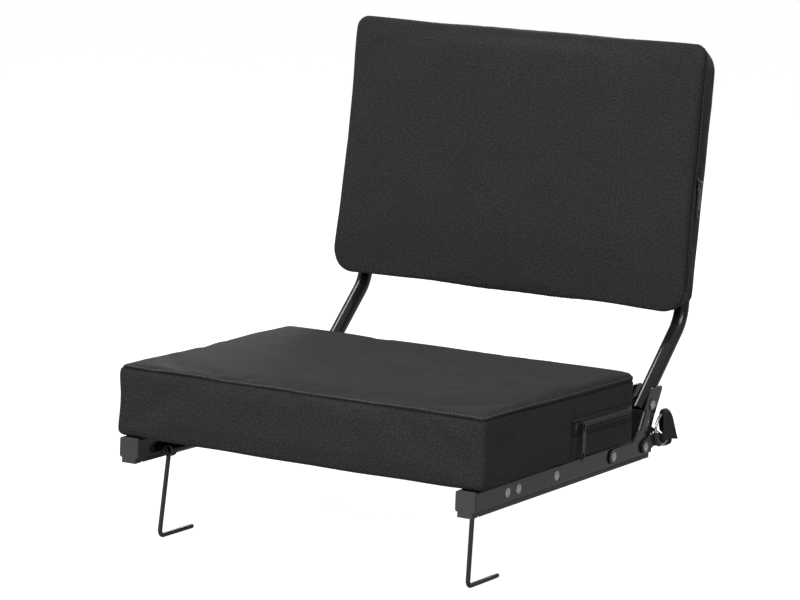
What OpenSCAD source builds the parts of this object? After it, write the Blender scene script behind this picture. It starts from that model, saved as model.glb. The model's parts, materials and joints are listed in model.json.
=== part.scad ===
/* [Seat pad] */
// Width of the seat pad
seat_w = 430; // [410:1:450]
// Depth of the seat pad, front to back
seat_d = 324; // [300:1:330]
// Height of the seat pad at its edges
seat_h = 73; // [60:1:85]
// Rise of the pad's top between its edges
seat_crown = 3; // [1:0.5:5]
// Radius of the pad's upright corners
seat_corner_r = 11; // [6:1:20]
// How far the pad overhangs each rail sideways
pad_overhang = 5.5; // [3:0.5:9]
// How far the rails' caps stand out in front of the pad
pad_setback = 3; // [2:0.5:8]
// Thickness of the woven covers
cover_t = 1.5; // [1:0.1:2]
// Width of the cover's hem under the seat board
hem_w = 30; // [25:1:40]
// Thickness of the plywood seat board
board_t = 9; // [6:1:12]

/* [Rails] */
// How far the rails reach behind the pad, with their end caps
rail_tail = 57; // [50:1:64]
// Width of a rail
rail_w = 22; // [20:1:26]
// Height of a rail
rail_h = 21; // [20:1:26]
// Wall of the rails' steel tube
rail_wall = 1.5; // [1:0.1:2]
// Radius of the rails' long corners
rail_corner_r = 2.4; // [2.2:0.1:3]
// Height of the rubber foot strips
foot_h = 5.5; // [4:0.5:8]
// How much narrower the foot strips are than the rails, each side
foot_inset = 2.8; // [2:0.1:4]
// Thickness of an end cap outside its rail
cap_t = 3; // [2:0.5:5]
// Length of the plug of an end cap inside its rail
cap_plug = 16; // [10:1:24]
// Length of the foot under an end cap
cap_foot = 11; // [8:1:16]

/* [Cross bars] */
// Width of a cross bar
bar_w = 30; // [24:1:36]
// Depth of a cross bar's channel
bar_h = 11; // [8:1:14]
// Thickness of the cross bars' sheet steel
bar_t = 1.5; // [1:0.1:2]
// Distance of the middle cross bar from the rails' front ends
mid_bar_y = 169; // [155:1:190]
// Distance of each seat screw from the middle of the seat
screw_x = 120; // [60:1:150]
// Diameter of the seat screws
screw_d = 5; // [4:0.5:6]

/* [Back hinge] */
// Thickness of the hinge brackets' sheet steel
bracket_t = 2; // [1.5:0.1:2.5]
// Distance of the pivot from the rails' rear ends
pivot_back = 6.5; // [5:0.5:10]
// Height of the pivot above the rails
pivot_up = 32; // [30:0.5:36]
// Distance of the bracket's rear rivet from the rails' rear ends
rear_rivet = 23.5; // [21:0.5:25]
// Distance of the bracket's front rivet from the rails' rear ends
front_rivet = 92; // [88:1:100]
// Width of the bracket's leaning arm, measured level
arm_w = 27; // [25:1:29]
// Height of the arm's top above the pivot
arm_top = 18; // [15:0.5:22]
// Lean of the arm from upright, in degrees
arm_lean = 31; // [28:0.5:33]
// Height of the arm's front web above the rails
web_h = 28; // [24:1:30]
// Outer bend radius between the arm's web and its sides
bend_r = 4; // [3:0.5:5]
// Diameter of the rivets' shanks
rivet_d = 6; // [5:0.5:6.5]
// Diameter of the rivets' heads
rivet_head_d = 10; // [9:0.5:11]
// Height of the rivets' heads
rivet_head_h = 1.8; // [1.4:0.1:2.2]

/* [Back frame] */
// Diameter of the back frame's steel tube
tube_d = 16; // [14:0.5:17]
// Wall of the back frame's steel tube
tube_wall = 1.2; // [1:0.1:1.6]
// Lean of the frame's lower legs from upright, in degrees
leg_lean = 47.3; // [46:0.1:49]
// Lean of the frame's upper part from upright, in degrees
back_lean = 6.6; // [4:0.1:9]
// Length of the lower legs, from the pivot to the knee
leg_l = 115.8; // [110:0.5:122]
// Length of the lower legs below the pivot
leg_tail = 10; // [8:0.5:10.5]
// Bend radius of the knees
knee_r = 40; // [32:1:48]
// Bend radius of the frame's top corners
top_r = 52; // [44:1:60]
// How far the frame's top bar lies below the back pad's top edge
top_bar_drop = 19.5; // [16:0.5:24]

/* [Back pad] */
// Height of the back pad's lower edge above the knees
back_low = 10; // [6:0.5:14]
// Height of the back pad
back_h = 285; // [275:0.5:290]
// How far the back pad's front reaches past the frame's legs at the bottom
back_over_low = 19.9; // [16:0.1:22]
// How far the back pad's front reaches past the frame's legs at the top
back_over_top = 12.5; // [11:0.1:16]
// Distance of the front seam from the frame's plane
back_front = 42; // [38:0.5:44]
// Rise of the back pad's front between its seams
back_crown = 4; // [2:0.5:5]
// Corner radius of the back pad's lower front corners
back_low_r = 28; // [20:1:34]
// Corner radius of the back pad's upper front corners
back_top_r = 14; // [10:1:20]
// Thickness of the stiff panel behind the foam
panel_t = 4; // [3:0.5:5]

/* [Bench hooks] */
// Diameter of the hooks' wire
hook_d = 4.8; // [4:0.1:5.5]
// Drop of a hook from its pin to its foot
hook_drop = 89; // [80:1:100]
// Length of a hook's foot
hook_foot = 60; // [50:1:68]
// Forward slant of the left hook's leg, in degrees
left_slant = 9; // [3:1:10]
// Forward slant of the right hook's leg, in degrees
right_slant = 3; // [2:1:10]
// How far the left hook has slid forward on its pin
left_slide = 4; // [0:0.5:5]
// How far the right hook has slid forward on its pin
right_slide = 0.3; // [0:0.1:5]
// Bend radius of the hooks' wire
hook_r = 6; // [5:0.5:8]
// Diameter of the hooks' pins
pin_d = 4; // [3.5:0.1:5]
// Height of the hook pins above the rails' underside
pin_up = 3.5; // [3:0.5:5]
// Distance of a hook bracket's front rivet from the rails' front ends
hook_rivet = 66; // [62:1:74]
// Distance between a hook bracket's two rivets
hook_rivet_gap = 22.5; // [20:0.5:26]

/* [Carry strap] */
// Middle radius of the strap rings
ring_r = 17; // [16:0.5:19]
// Diameter of the rings' wire
ring_d = 3; // [2.5:0.1:3.5]
// Width of the carry strap's webbing
strap_w = 28; // [24:1:29]
// Thickness of the webbing
strap_t = 2; // [1.5:0.1:2.5]
// How far the strap hangs out behind the rails
strap_back = 56; // [50:1:64]
// Thickness of the tabs that hold the rings
tab_t = 2.2; // [1.8:0.1:2.6]

/* [Zips] */
// Width of a zip's chain
chain_w = 5.5; // [4:0.5:7]
// Thickness of a zip's chain
chain_t = 1.4; // [1:0.1:2]
// Length of a zip's pull tab
pull_l = 37; // [30:1:42]
// Width of a zip's pull tab
pull_w = 6; // [5:0.5:8]
// Thickness of a zip's pull tab
pull_t = 1.6; // [1.2:0.1:2]
// Height of the pocket panel on the seat pad's side
pocket_h = 39; // [30:1:44]
// Length of the pocket panel
pocket_l = 138; // [110:1:150]
// Distance of the pocket's zip below the panel's top
pocket_zip_drop = 7.5; // [6:0.5:10]
// Height of the back pad's zip above the knees, at its upper end
back_zip_top = 157; // [140:1:170]
// Length of the back pad's zip
back_zip_l = 122; // [100:1:126]
// Distance of the back pad's zip behind its front seam
back_zip_in = 15; // [12:1:20]

/* [Clearances] */
// Gap between a rivet or screw and its hole
hole_gap = 0.05; // [0.03:0.01:0.1]
// Radial gap of a turning pin in its hole
run_gap = 0.08; // [0.04:0.01:0.1]
// Gap between pieces that slide past each other
slide_gap = 0.3; // [0.2:0.05:0.4]
// Gap between soft pieces and what they are packed round
soft_gap = 0.2; // [0.1:0.05:0.3]

/* [Hidden] */

$fn = 64;
small = 0.01;

rail_l = pad_setback + seat_d + rail_tail;
rail_x = seat_w / 2 - pad_overhang - rail_w / 2;
rail_out = rail_x + rail_w / 2;
rail_in = rail_x - rail_w / 2;
rail_front = -rail_l / 2;
rail_rear = rail_l / 2;
rail_low = foot_h;
rail_top = foot_h + rail_h;
rivet_z = rail_low + rail_h / 2;
pad_front = rail_front + pad_setback;
pad_mid_y = pad_front + seat_d / 2;

tail_d = rivet_head_d - 2.5;
tail_h = rivet_head_h - 0.4;

board_z = rail_top + cover_t;
board_w = seat_w - 16;
board_d = seat_d - 16;
board_r = 12;
mid_y = rail_front + mid_bar_y;
rear_y = rail_rear - front_rivet;
screw_l = board_t - 1;
screw_head_h = 2.6;

pivot_y = rail_rear - pivot_back;
pivot_z = rail_top + pivot_up;
rear_rivet_y = rail_rear - rear_rivet;
bracket_out = rail_out + bracket_t;
bracket_in = rail_in - bracket_t;

knee_y = pivot_y + leg_l * sin(leg_lean);
knee_z = pivot_z + leg_l * cos(leg_lean);
knee_turn = leg_lean - back_lean;
knee_run = knee_r * tan(knee_turn / 2);

back_rear = tube_d / 2 + cover_t;
back_top = back_low + back_h;
top_bar = back_top - top_bar_drop;
back_half_low = rail_x + back_over_low;
back_half_top = rail_x + back_over_top;
rear_half = rail_x + back_rear;
rear_low = back_low + 6;
rear_top = top_bar + back_rear;

ground = hook_drop + hook_d / 2 - foot_h - pin_up;
rearmost = knee_y + back_rear * cos(back_lean) + (rear_top - 5) * sin(back_lean);
centre_shift = -(rearmost + rail_front) / 2;

pin_x = rail_in - hook_d - pin_d / 2 - 0.7;
pin_z = rail_low + pin_up;
hook_bracket_front = rail_front + hook_rivet - 8;
hook_bracket_l = hook_rivet_gap + 16;
barrel_r = pin_d / 2 + bracket_t;
eye_r = pin_d / 2 + run_gap + hook_d / 2;
eye_turns = 2;
coil = hook_d + 0.1;
slide_room = 5;
eye_y = hook_bracket_front - slide_gap - hook_d / 2 - (eye_turns - 1) * coil;
pin_front = eye_y - hook_d / 2 - slide_room - slide_gap - 4;

tab_x = bracket_out + 0.5;
loop_r = ring_d / 2 + slide_gap + strap_t;
ring_x = bracket_out + 0.9 + loop_r;
ring_y = rail_rear + 11.5;
ring_z = rail_top + 4;
sleeve_r = ring_d / 2 + slide_gap + 1.2;

slider_w = 9;
slider_l = 12;
slider_t = 1.6;
bridge_h = 4.2;
bridge_l = 8;
bridge_w = 2.4;
eye_gap = 1.2;
pull_axis = slider_t + bridge_h / 2 + 0.1;

// Points of an arc of n steps, from angle a0 to a1, about c.
function arc(c, r, a0, a1, n) =
    [for (i = [0:n]) c + r * [cos(a0 + (a1 - a0) * i / n), sin(a0 + (a1 - a0) * i / n)]];

function unit(v) = v / norm(v);
function turn(a) = ((a + 540) % 360 + 360) % 360 - 180;

// The corner q of an outline p, q, s, rounded to radius r with n steps.
function fillet(p, q, s, r, n) =
    let (u = unit(p - q), v = unit(s - q),
         half = acos(u * v) / 2,
         c = q + unit(u + v) * r / sin(half),
         t1 = q + u * r / tan(half), t2 = q + v * r / tan(half),
         a1 = atan2(t1[1] - c[1], t1[0] - c[0]),
         a2 = atan2(t2[1] - c[1], t2[0] - c[0]))
    arc(c, r, a1, a1 + turn(a2 - a1), n);

function xy(p) = [p[0], p[1]];

// An outline from corners [x, y, radius], in order; radius 0 leaves a corner sharp.
function rounded(c, n = 8) =
    let (k = len(c))
    [for (i = [0:k - 1])
        each (c[i][2] > 0
            ? fillet(xy(c[(i + k - 1) % k]), xy(c[i]), xy(c[(i + 1) % k]), c[i][2], n)
            : [xy(c[i])])];

// A soft outline: rounded corners, and sides of m points that draw in by bow.
function soft_outline(c, bow, n, m) =
    let (k = len(c),
         f = [for (i = [0:k - 1])
             fillet(xy(c[(i + k - 1) % k]), xy(c[i]), xy(c[(i + 1) % k]), c[i][2], n)])
    [for (i = [0:k - 1])
        let (a = f[i][n], b = f[(i + 1) % k][0], d = unit(b - a), inward = [-d[1], d[0]])
        each concat(f[i],
            [for (j = [1:m]) let (u = j / (m + 1)) a + (b - a) * u + inward * bow * 4 * u * (1 - u)])];

// The outline pulled towards the middle c by inset, on half sizes h.
function shrunk(o, c, h, inset) =
    [for (p = o) [c[0] + (p[0] - c[0]) * (h[0] - inset) / h[0],
                  c[1] + (p[1] - c[1]) * (h[1] - inset) / h[1]]];

function mean(r) = [for (k = [0:2]) [for (p = r) p[k]] * [for (p = r) 1 / len(r)]];

// A closed solid through a stack of rings of equal length, capped at both ends.
module ring_solid(rings) {
    n = len(rings[0]);
    m = len(rings);
    points = concat([for (r = rings) each r], [mean(rings[0]), mean(rings[m - 1])]);
    sides = [for (i = [0:m - 2]) for (j = [0:n - 1])
        let (a = i * n + j, b = i * n + (j + 1) % n)
        each [[a, b, b + n], [a, b + n, a + n]]];
    caps = [for (j = [0:n - 1]) let (k = (j + 1) % n)
        each [[m * n, k, j], [m * n + 1, (m - 1) * n + j, (m - 1) * n + k]]];
    polyhedron(concat(sides, caps) == [] ? [] : points, concat(sides, caps), convexity = 6);
}

// A rectangle with round corners, centred.
module round_rect(w, h, r) {
    square([w - 2 * r, h], center = true);
    square([w, h - 2 * r], center = true);
    for (x = [-1, 1], y = [-1, 1])
        translate([x * (w / 2 - r), y * (h / 2 - r)])
            circle(r);
}

// Extrudes a shape drawn in Y and Z along X, from x0 for length l.
module along_x(x0, l) {
    translate([x0, 0, 0])
        rotate([90, 0, 90])
            linear_extrude(l)
                children();
}

// Extrudes a shape drawn in X and Z along Y, from y0 for length l.
module along_y(y0, l) {
    translate([0, y0 + l, 0])
        rotate([90, 0, 0])
            linear_extrude(l)
                children();
}

// A cylinder along X from x0 for length l, through [y, z].
module bar_x(x0, l, yz, d) {
    translate([x0, yz[0], yz[1]])
        rotate([0, 90, 0])
            cylinder(d = d, h = l);
}

module left() {
    mirror([1, 0, 0])
        children();
}

// Sets a piece in the row frame: the hooks' feet on the ground, the depth centred.
module placed() {
    translate([0, centre_shift, ground])
        children();
}

// The rivets of one side, as [y, outer face, inner face].
rivet_rows = [
    [rail_front + hook_rivet, rail_out, rail_in - bracket_t],
    [rail_front + hook_rivet + hook_rivet_gap, rail_out, rail_in - bracket_t],
    [mid_y, rail_out, rail_in - bar_t],
    [rear_y, bracket_out, bracket_in - bar_t],
    [rear_rivet_y, tab_x + tab_t + slide_gap, bracket_in]];

module rivet_holes(x0, x1) {
    for (r = rivet_rows)
        bar_x(x0, x1 - x0, [r[0], rivet_z], rivet_d + 2 * hole_gap);
}

module rail() {
    difference() {
        along_y(rail_front + cap_t, rail_l - 2 * cap_t)
            translate([rail_x, rivet_z])
                difference() {
                    round_rect(rail_w, rail_h, rail_corner_r);
                    round_rect(rail_w - 2 * rail_wall, rail_h - 2 * rail_wall, rail_corner_r - rail_wall);
                }
        rivet_holes(rail_in - 1, rail_out + 1);
    }
}

strip_w = rail_w - 2 * foot_inset;
strip_notch = 4;
groove = 1.2;

// A rubber strip under one rail, with three grip grooves along it.
module foot_strip() {
    y0 = rail_front + cap_foot;
    l = rail_l - 2 * cap_foot;
    difference() {
        along_x(rail_x - strip_w / 2, strip_w)
            polygon([[y0, foot_h], [y0, groove + 1], [y0 + strip_notch, 0],
                     [y0 + l - strip_notch, 0], [y0 + l, groove + 1], [y0 + l, foot_h]]);
        for (i = [-1:1])
            translate([rail_x + i * strip_w / 4, y0 - 1, -small])
                cube([groove, l + 2, 2 * groove], center = false);
    }
}

// An end cap: a face over the rail's end, a ribbed plug inside it and a foot below.
module end_cap() {
    gap = soft_gap;
    plug_w = rail_w - 2 * rail_wall - 2 * gap;
    plug_h = rail_h - 2 * rail_wall - 2 * gap;
    along_y(rail_front, cap_t)
        translate([rail_x, rivet_z])
            round_rect(rail_w, rail_h, rail_corner_r);
    difference() {
        along_y(rail_front + cap_t, cap_plug)
            translate([rail_x, rivet_z])
                round_rect(plug_w, plug_h, 1);
        translate([rail_x - plug_w / 2 + 2, rail_front + cap_t + 2, rivet_z - plug_h / 2 + 2])
            cube([plug_w - 4, cap_plug, plug_h - 4]);
    }
    difference() {
        translate([rail_x - strip_w / 2, rail_front, 0])
            cube([strip_w, cap_foot, foot_h]);
        translate([rail_x - strip_w / 2 + 2.5, rail_front + cap_t, -1])
            cube([strip_w - 5, cap_foot - cap_t - 2.5, foot_h - 1]);
    }
}

// A pressed channel between the rails, with tabs bent down for the rivets.
module cross_bar(y, end_x) {
    top = rail_top;
    difference() {
        union() {
            translate([-end_x, y - bar_w / 2, top - bar_t])
                cube([2 * end_x, bar_w, bar_t]);
            for (s = [-1, 1])
                translate([-end_x + 8, y + s * (bar_w - bar_t) / 2 - bar_t / 2, top - bar_h])
                    cube([2 * end_x - 16, bar_t, bar_h]);
            for (s = [-1, 1])
                along_x(s * end_x - (s > 0 ? bar_t : 0), bar_t)
                    polygon(rounded([[y - 10, top - small, 0], [y - 10, rivet_z - 8, 6],
                                     [y + 10, rivet_z - 8, 6], [y + 10, top - small, 0]]));
        }
        bar_x(-end_x - 1, 2 * end_x + 2, [y, rivet_z], rivet_d + 2 * hole_gap);
        for (x = [-screw_x, screw_x])
            translate([x, y, top - bar_t - 1])
                cylinder(d = screw_d + 2 * hole_gap, h = bar_t + 2);
        for (i = [-1, 1])
            translate([i * screw_x / 3, y, top - bar_t - 1])
                cylinder(d = 10, h = bar_t + 2);
    }
}

module each_screw() {
    for (x = [-screw_x, screw_x], y = [mid_y, rear_y])
        translate([x, y, board_z])
            children();
}

module board_solid() {
    difference() {
        translate([0, pad_mid_y, board_z])
            linear_extrude(board_t)
                round_rect(board_w, board_d, board_r);
        each_screw()
            translate([0, 0, -1])
                cylinder(d = screw_d + 2 * hole_gap, h = screw_l + 1.2);
    }
}

// The cloth that closes the cover's underside, level with its hem.
module base_cloth_solid() {
    difference() {
        translate([0, pad_mid_y, rail_top])
            linear_extrude(cover_t)
                round_rect(seat_w - 2 * hem_w - 3, seat_d - 2 * hem_w - 3, seat_corner_r);
        each_screw()
            translate([0, 0, -cover_t - 1])
                cylinder(d = screw_d + 2 * hole_gap, h = cover_t + 2);
    }
}

// A pan-head screw from below: domed head with a cross recess, and its shank.
module screw() {
    head_r = screw_d;
    translate([0, 0, -cover_t - bar_t - screw_head_h])
        difference() {
            rotate_extrude()
                polygon(concat([[0, screw_head_h], [0, 0]],
                    arc([head_r - 1.8, 1.8], 1.8, -90, 0, 6), [[head_r, screw_head_h]]));
            for (a = [0, 90])
                rotate([0, 0, a])
                    translate([-2, -0.5, -small])
                        cube([4, 1, 1.4]);
        }
    translate([0, 0, -cover_t - bar_t])
        cylinder(d = screw_d, h = cover_t + bar_t + screw_l);
}

arc_n = 5;
side_n = 4;

seat_half = [seat_w / 2, seat_d / 2];
seat_outline = soft_outline(
    [[seat_half[0], seat_half[1], seat_corner_r], [-seat_half[0], seat_half[1], seat_corner_r],
     [-seat_half[0], -seat_half[1], seat_corner_r], [seat_half[0], -seat_half[1], seat_corner_r]],
    1, arc_n, side_n);

// The ring of the seat pad at an inset from its sides and a height above its base.
function seat_ring(inset, z) =
    [for (p = shrunk(seat_outline, [0, 0], seat_half, inset))
        [p[0], p[1] + pad_mid_y, rail_top + z]];

// Inset and height of the seat pad's skin, from the middle of its top to its base.
seat_skin = concat(
    [for (i = [0:4]) let (u = i / 4) [130 - 112 * u, seat_h + seat_crown * (1 - pow(u, 3) * 0.7)]],
    [[7, seat_h + 0.3], [2.6, seat_h - 0.9], [0.7, seat_h - 3.4], [0.3, seat_h - 8],
     [1.1, seat_h * 0.62], [1.1, seat_h * 0.38], [0.4, 9], [1.6, 3], [5, 0]]);
function seat_inner(t) =
    [for (p = seat_skin) [p[0] + t, p[1] < 1 ? t : (p[1] > seat_h - 2 ? p[1] - t : p[1])]];

module seat_cover_solid() {
    outer = [for (p = seat_skin) seat_ring(p[0], p[1])];
    hem = [seat_ring(hem_w, 0), seat_ring(hem_w, cover_t)];
    k = len(seat_skin);
    inner = [for (i = [0:k - 1]) let (p = seat_inner(cover_t)[k - 1 - i]) seat_ring(p[0], p[1])];
    ring_solid(concat(outer, hem, inner));
}

module seat_foam_solid() {
    base = cover_t + board_t + soft_gap;
    t = cover_t + soft_gap;
    body = [for (p = seat_inner(t)) if (p[1] > base + 4) seat_ring(p[0], p[1])];
    ring_solid(concat(body, [seat_ring(cover_t + soft_gap + 1.1, base)]));
}

pocket_x = seat_w / 2 + small;
pocket_rear = pad_front + seat_d - 3;
pocket_low = rail_top + 5;
pocket_zip_z = pocket_low + pocket_h - pocket_zip_drop;
panel_skin = 1.2;
chain_in = 6;

module pocket_panel_solid() {
    along_x(pocket_x, panel_skin)
        polygon(rounded([[pocket_rear, pocket_low, 2], [pocket_rear, pocket_low + pocket_h, 5],
                         [pocket_rear - pocket_l, pocket_low + pocket_h, 5],
                         [pocket_rear - pocket_l, pocket_low, 2]], 5));
    for (s = [0, 1])
        translate([pocket_x + panel_skin, pocket_rear - pocket_l + 3,
                   pocket_zip_z + (s == 0 ? -chain_w / 2 - 3.2 : chain_w / 2 + 0.8)])
            cube([0.8, pocket_l - 6, 2.4]);
}

module chain(l) {
    translate([0, -chain_w / 2, 0])
        cube([chain_t, chain_w, l]);
    for (z = [0, l - 2.5])
        translate([chain_t - small, -chain_w / 2, z])
            cube([0.15, chain_w, 2.5]);
}

// Puts its children at the pocket zip: X out of the pad, Z along the zip to the rear.
module at_pocket_zip() {
    translate([pocket_x + panel_skin, pocket_rear - pocket_l + chain_in, pocket_zip_z])
        rotate([-90, 0, 0])
            children();
}

// A slider over a zip's chain; the bridge that holds its pull stands turned by a.
module slider(a) {
    translate([chain_t + 0.15 + slide_gap, 0, 0]) {
        along_x(0, slider_t)
            polygon(rounded([[-slider_w / 2, 0, 1.5], [slider_w / 2, 0, 1.5],
                             [slider_w / 2 - 0.5, slider_l, 2.5], [-slider_w / 2 + 0.5, slider_l, 2.5]], 4));
        translate([0, 0, slider_l / 2])
            rotate([a, 0, 0])
                along_y(-bridge_w / 2, bridge_w)
                    difference() {
                        polygon(rounded([[slider_t - small, -bridge_l / 2, 0],
                                         [slider_t + bridge_h, -bridge_l / 2 + 1, 1.5],
                                         [slider_t + bridge_h, bridge_l / 2 - 1, 1.5],
                                         [slider_t - small, bridge_l / 2, 0]], 4));
                        translate([pull_axis, 0])
                            circle(r = eye_gap);
                    }
    }
}

// A pull tab that hangs by a pin between its two arms; the pin runs along Y.
module pull() {
    w = pull_w;
    arms = bridge_w + 2 * slide_gap;
    difference() {
        along_x(-pull_t / 2, pull_t)
            polygon(rounded([[-w / 2, 1.2, 0.8], [-w / 2, -pull_l + 1.2, 2],
                             [w / 2, -pull_l + 1.2, 2], [w / 2, 1.2, 0.8]], 4));
        translate([-pull_t, -arms / 2, -bridge_l / 2 - 0.6])
            cube([2 * pull_t, arms, bridge_l / 2 + 3]);
        translate([-pull_t, -w / 2 + 1.4, -pull_l + 3.6])
            cube([2 * pull_t, w - 2.8, 6.5]);
    }
    translate([0, -w / 2 + 0.6, 0])
        rotate([-90, 0, 0])
            cylinder(r = eye_gap - 0.4, h = w - 1.2);
}

// The side view of the hinge bracket's plates: the foot along the rail, then the leaning arm.
// Over the height of the web the plates start behind its bends.
arm_slope = tan(arm_lean);
arm_front_y = pivot_y - arm_w / 2 - (pivot_z - rail_top) * arm_slope;
function arm_edge(z, w) = arm_front_y + w + (z - rail_top) * arm_slope;
arm_z = pivot_z + arm_top;
web_top = rail_top + web_h;
plate_step = (bend_r + 1) / cos(arm_lean);
bracket_side = rounded([
    [rear_y - 8.5, rivet_z - 8.2, 8], [rear_y - 8.5, rivet_z + 8.2, 8],
    [arm_front_y - 6, rivet_z + 8.2, 14], [arm_front_y + 4, rail_top + 8, 0],
    [arm_edge(rail_top + 8, plate_step), rail_top + 8, 0],
    [arm_edge(web_top - 0.5, plate_step), web_top - 0.5, 0],
    [arm_edge(web_top - 0.5, -0.3), web_top - 0.5, 0],
    [arm_edge(arm_z, -0.3), arm_z, 9],
    [arm_edge(arm_z, arm_w), arm_z, 3],
    [arm_edge(pivot_z - 14, arm_w), pivot_z - 14, 10],
    [arm_edge(rivet_z - 8.2, arm_w + 6), rivet_z - 8.2, 3]]);
web_side = [
    [arm_edge(rail_top, -2), rail_top], [arm_edge(web_top, -2), web_top],
    [arm_edge(web_top, 2 * plate_step), web_top], [arm_edge(rail_top, 2 * plate_step), rail_top]];

// The plan of the arm's channel, across its lean: the front web and its two bends.
module arm_channel() {
    w = rail_w + 2 * bracket_t;
    deep = 4 * bend_r;
    difference() {
        union() {
            translate([-w / 2, bend_r])
                square([w, deep]);
            translate([-w / 2 + bend_r, 0])
                square([w - 2 * bend_r, bend_r]);
            for (s = [-1, 1])
                translate([s * (w / 2 - bend_r), bend_r])
                    circle(bend_r);
        }
        translate([-rail_w / 2, bracket_t])
            square([rail_w, deep]);
    }
}

// The bracket that straddles the rail's rear end and carries the back frame.
module hinge_bracket() {
    difference() {
        union() {
            intersection() {
                translate([rail_x, arm_front_y, rail_top])
                    rotate([-arm_lean, 0, 0])
                        translate([0, 0, -20])
                            linear_extrude(web_h / cos(arm_lean) + 40)
                                arm_channel();
                along_x(bracket_in - 1, rail_w + 2 * bracket_t + 2)
                    polygon(web_side);
            }
            for (x = [bracket_in, rail_out])
                along_x(x, bracket_t)
                    polygon(bracket_side);
            bar_x(bracket_out - small, 0.6, [pivot_y, pivot_z], rivet_head_d + 5);
        }
        bar_x(bracket_in - 1, rail_w + 2 * bracket_t + 3, [pivot_y, pivot_z], rivet_d + 2 * hole_gap);
        rivet_holes(bracket_in - 1, bracket_out + 1);
    }
}

// A round-headed rivet along X, from an inner face to an outer one.
module rivet(yz, inner, outer) {
    l = outer - inner;
    rim = 0.5;
    r = rivet_head_d / 2 - 0.3;
    h = rivet_head_h - rim;
    dome_r = (r * r + h * h) / (2 * h);
    translate([inner, yz[0], yz[1]])
        rotate([0, 90, 0])
            rotate_extrude() {
                square([rivet_d / 2, l + rim]);
                translate([0, -tail_h])
                    square([tail_d / 2, tail_h]);
                translate([0, l])
                    square([rivet_head_d / 2, rim]);
                intersection() {
                    translate([0, l + rivet_head_h - dome_r])
                        circle(dome_r);
                    translate([0, l + rim / 2])
                        square([r, rivet_head_h]);
                }
            }
}

module rail_rivets() {
    for (r = rivet_rows)
        rivet([r[0], rivet_z], r[2], r[1]);
}

module pivot_rivet() {
    rivet([pivot_y, pivot_z], bracket_in, bracket_out + 0.6);
}

spacer_t = (rail_w - tube_d) / 2 - slide_gap / 2;

module pivot_spacers() {
    for (x = [rail_in, rail_out - spacer_t])
        difference() {
            bar_x(x, spacer_t, [pivot_y, pivot_z], 13);
            bar_x(x - 1, spacer_t + 2, [pivot_y, pivot_z], rivet_d + 2 * hole_gap);
        }
}

// A bend of radius r through angle a: starts along Z at the origin and turns towards -Y.
module bend(r, a) {
    translate([0, -r, 0])
        rotate([90, 0, 90])
            rotate_extrude(angle = a)
                translate([r, 0])
                    children();
}

// Puts its children in the back's own frame: Z up along the back, -Y out of its front.
module at_back() {
    translate([0, knee_y, knee_z])
        rotate([-back_lean, 0, 0])
            children();
}

bend_mark = 0.6;
butt = 0.02;

// One side of the frame's route as a bar of diameter d, with a faint ring at each bend's end.
module frame_side(d, past) {
    translate([rail_x, pivot_y, pivot_z])
        rotate([-leg_lean, 0, 0]) {
            translate([0, 0, -leg_tail - past])
                cylinder(d = d, h = leg_tail + past + leg_l - knee_run - butt);
            translate([0, 0, leg_l - knee_run]) {
                bend(knee_r, knee_turn)
                    circle(d = d);
                translate([0, 0, -bend_mark / 2])
                    cylinder(d = d + 0.1, h = bend_mark);
            }
        }
    at_back()
        translate([rail_x, 0, knee_run]) {
            translate([0, 0, butt])
                cylinder(d = d, h = top_bar - top_r - knee_run - butt);
            translate([0, 0, -bend_mark / 2])
                cylinder(d = d + 0.1, h = bend_mark);
            translate([0, 0, top_bar - top_r - knee_run])
                rotate([0, 0, -90])
                    bend(top_r, 90)
                        circle(d = d);
        }
}

module frame_route(d, past) {
    frame_side(d, past);
    left()
        frame_side(d, past);
    at_back()
        translate([-rail_x + top_r, 0, top_bar])
            rotate([0, 90, 0]) {
                translate([0, 0, butt])
                    cylinder(d = d, h = 2 * (rail_x - top_r - butt));
                for (z = [0, 2 * (rail_x - top_r)])
                    translate([0, 0, z - bend_mark / 2])
                        cylinder(d = d + 0.1, h = bend_mark);
            }
}

module back_frame_solid() {
    difference() {
        frame_route(tube_d, 0);
        frame_route(tube_d - 2 * tube_wall, 1);
        for (s = [-1, 1])
            bar_x(s * rail_x - rail_w / 2, rail_w, [pivot_y, pivot_z], rivet_d + 2 * run_gap);
    }
}

back_mid = [0, back_low + back_h / 2];
back_half = [back_half_low, back_h / 2];
back_front_outline = soft_outline(
    [[back_half_top, back_top, back_top_r], [-back_half_top, back_top, back_top_r],
     [-back_half_low, back_low, back_low_r], [back_half_low, back_low, back_low_r]],
    1, arc_n, side_n);
rear_r = top_r + back_rear - 5;
back_rear_outline = soft_outline(
    [[rear_half, rear_top, rear_r], [-rear_half, rear_top, rear_r],
     [-rear_half, rear_low, 12], [rear_half, rear_low, 12]],
    0, arc_n, side_n);

// How far a depth y lies from the front seam (0) towards the frame's back (1).
function back_share(y) = max(0, min(1, (y + back_front) / (back_front + tube_d / 2)));

// The ring of the back pad at an inset from its outline, at depth y.
function back_ring(inset, y) =
    let (t = back_share(y),
         o = [for (i = [0:len(back_front_outline) - 1])
             back_front_outline[i] * (1 - t) + back_rear_outline[i] * t])
    [for (p = shrunk(o, back_mid, back_half, inset)) [p[0], y, p[1]]];

// Inset and depth of the back pad's skin, from the middle of its front to its back.
back_skin = concat(
    [for (i = [0:4]) let (u = i / 4) [118 - 100 * u, -back_front - back_crown * (1 - pow(u, 3) * 0.6)]],
    [[8, -back_front - 0.8], [3.2, -back_front + 0.3], [1, -back_front + 2.6], [0, -back_front + 7],
     [0.4, -back_front + 18], [0.2, -8], [0, 2], [1.4, tube_d / 2 - 1],
     [5.5, back_rear], [60, back_rear]]);

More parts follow.
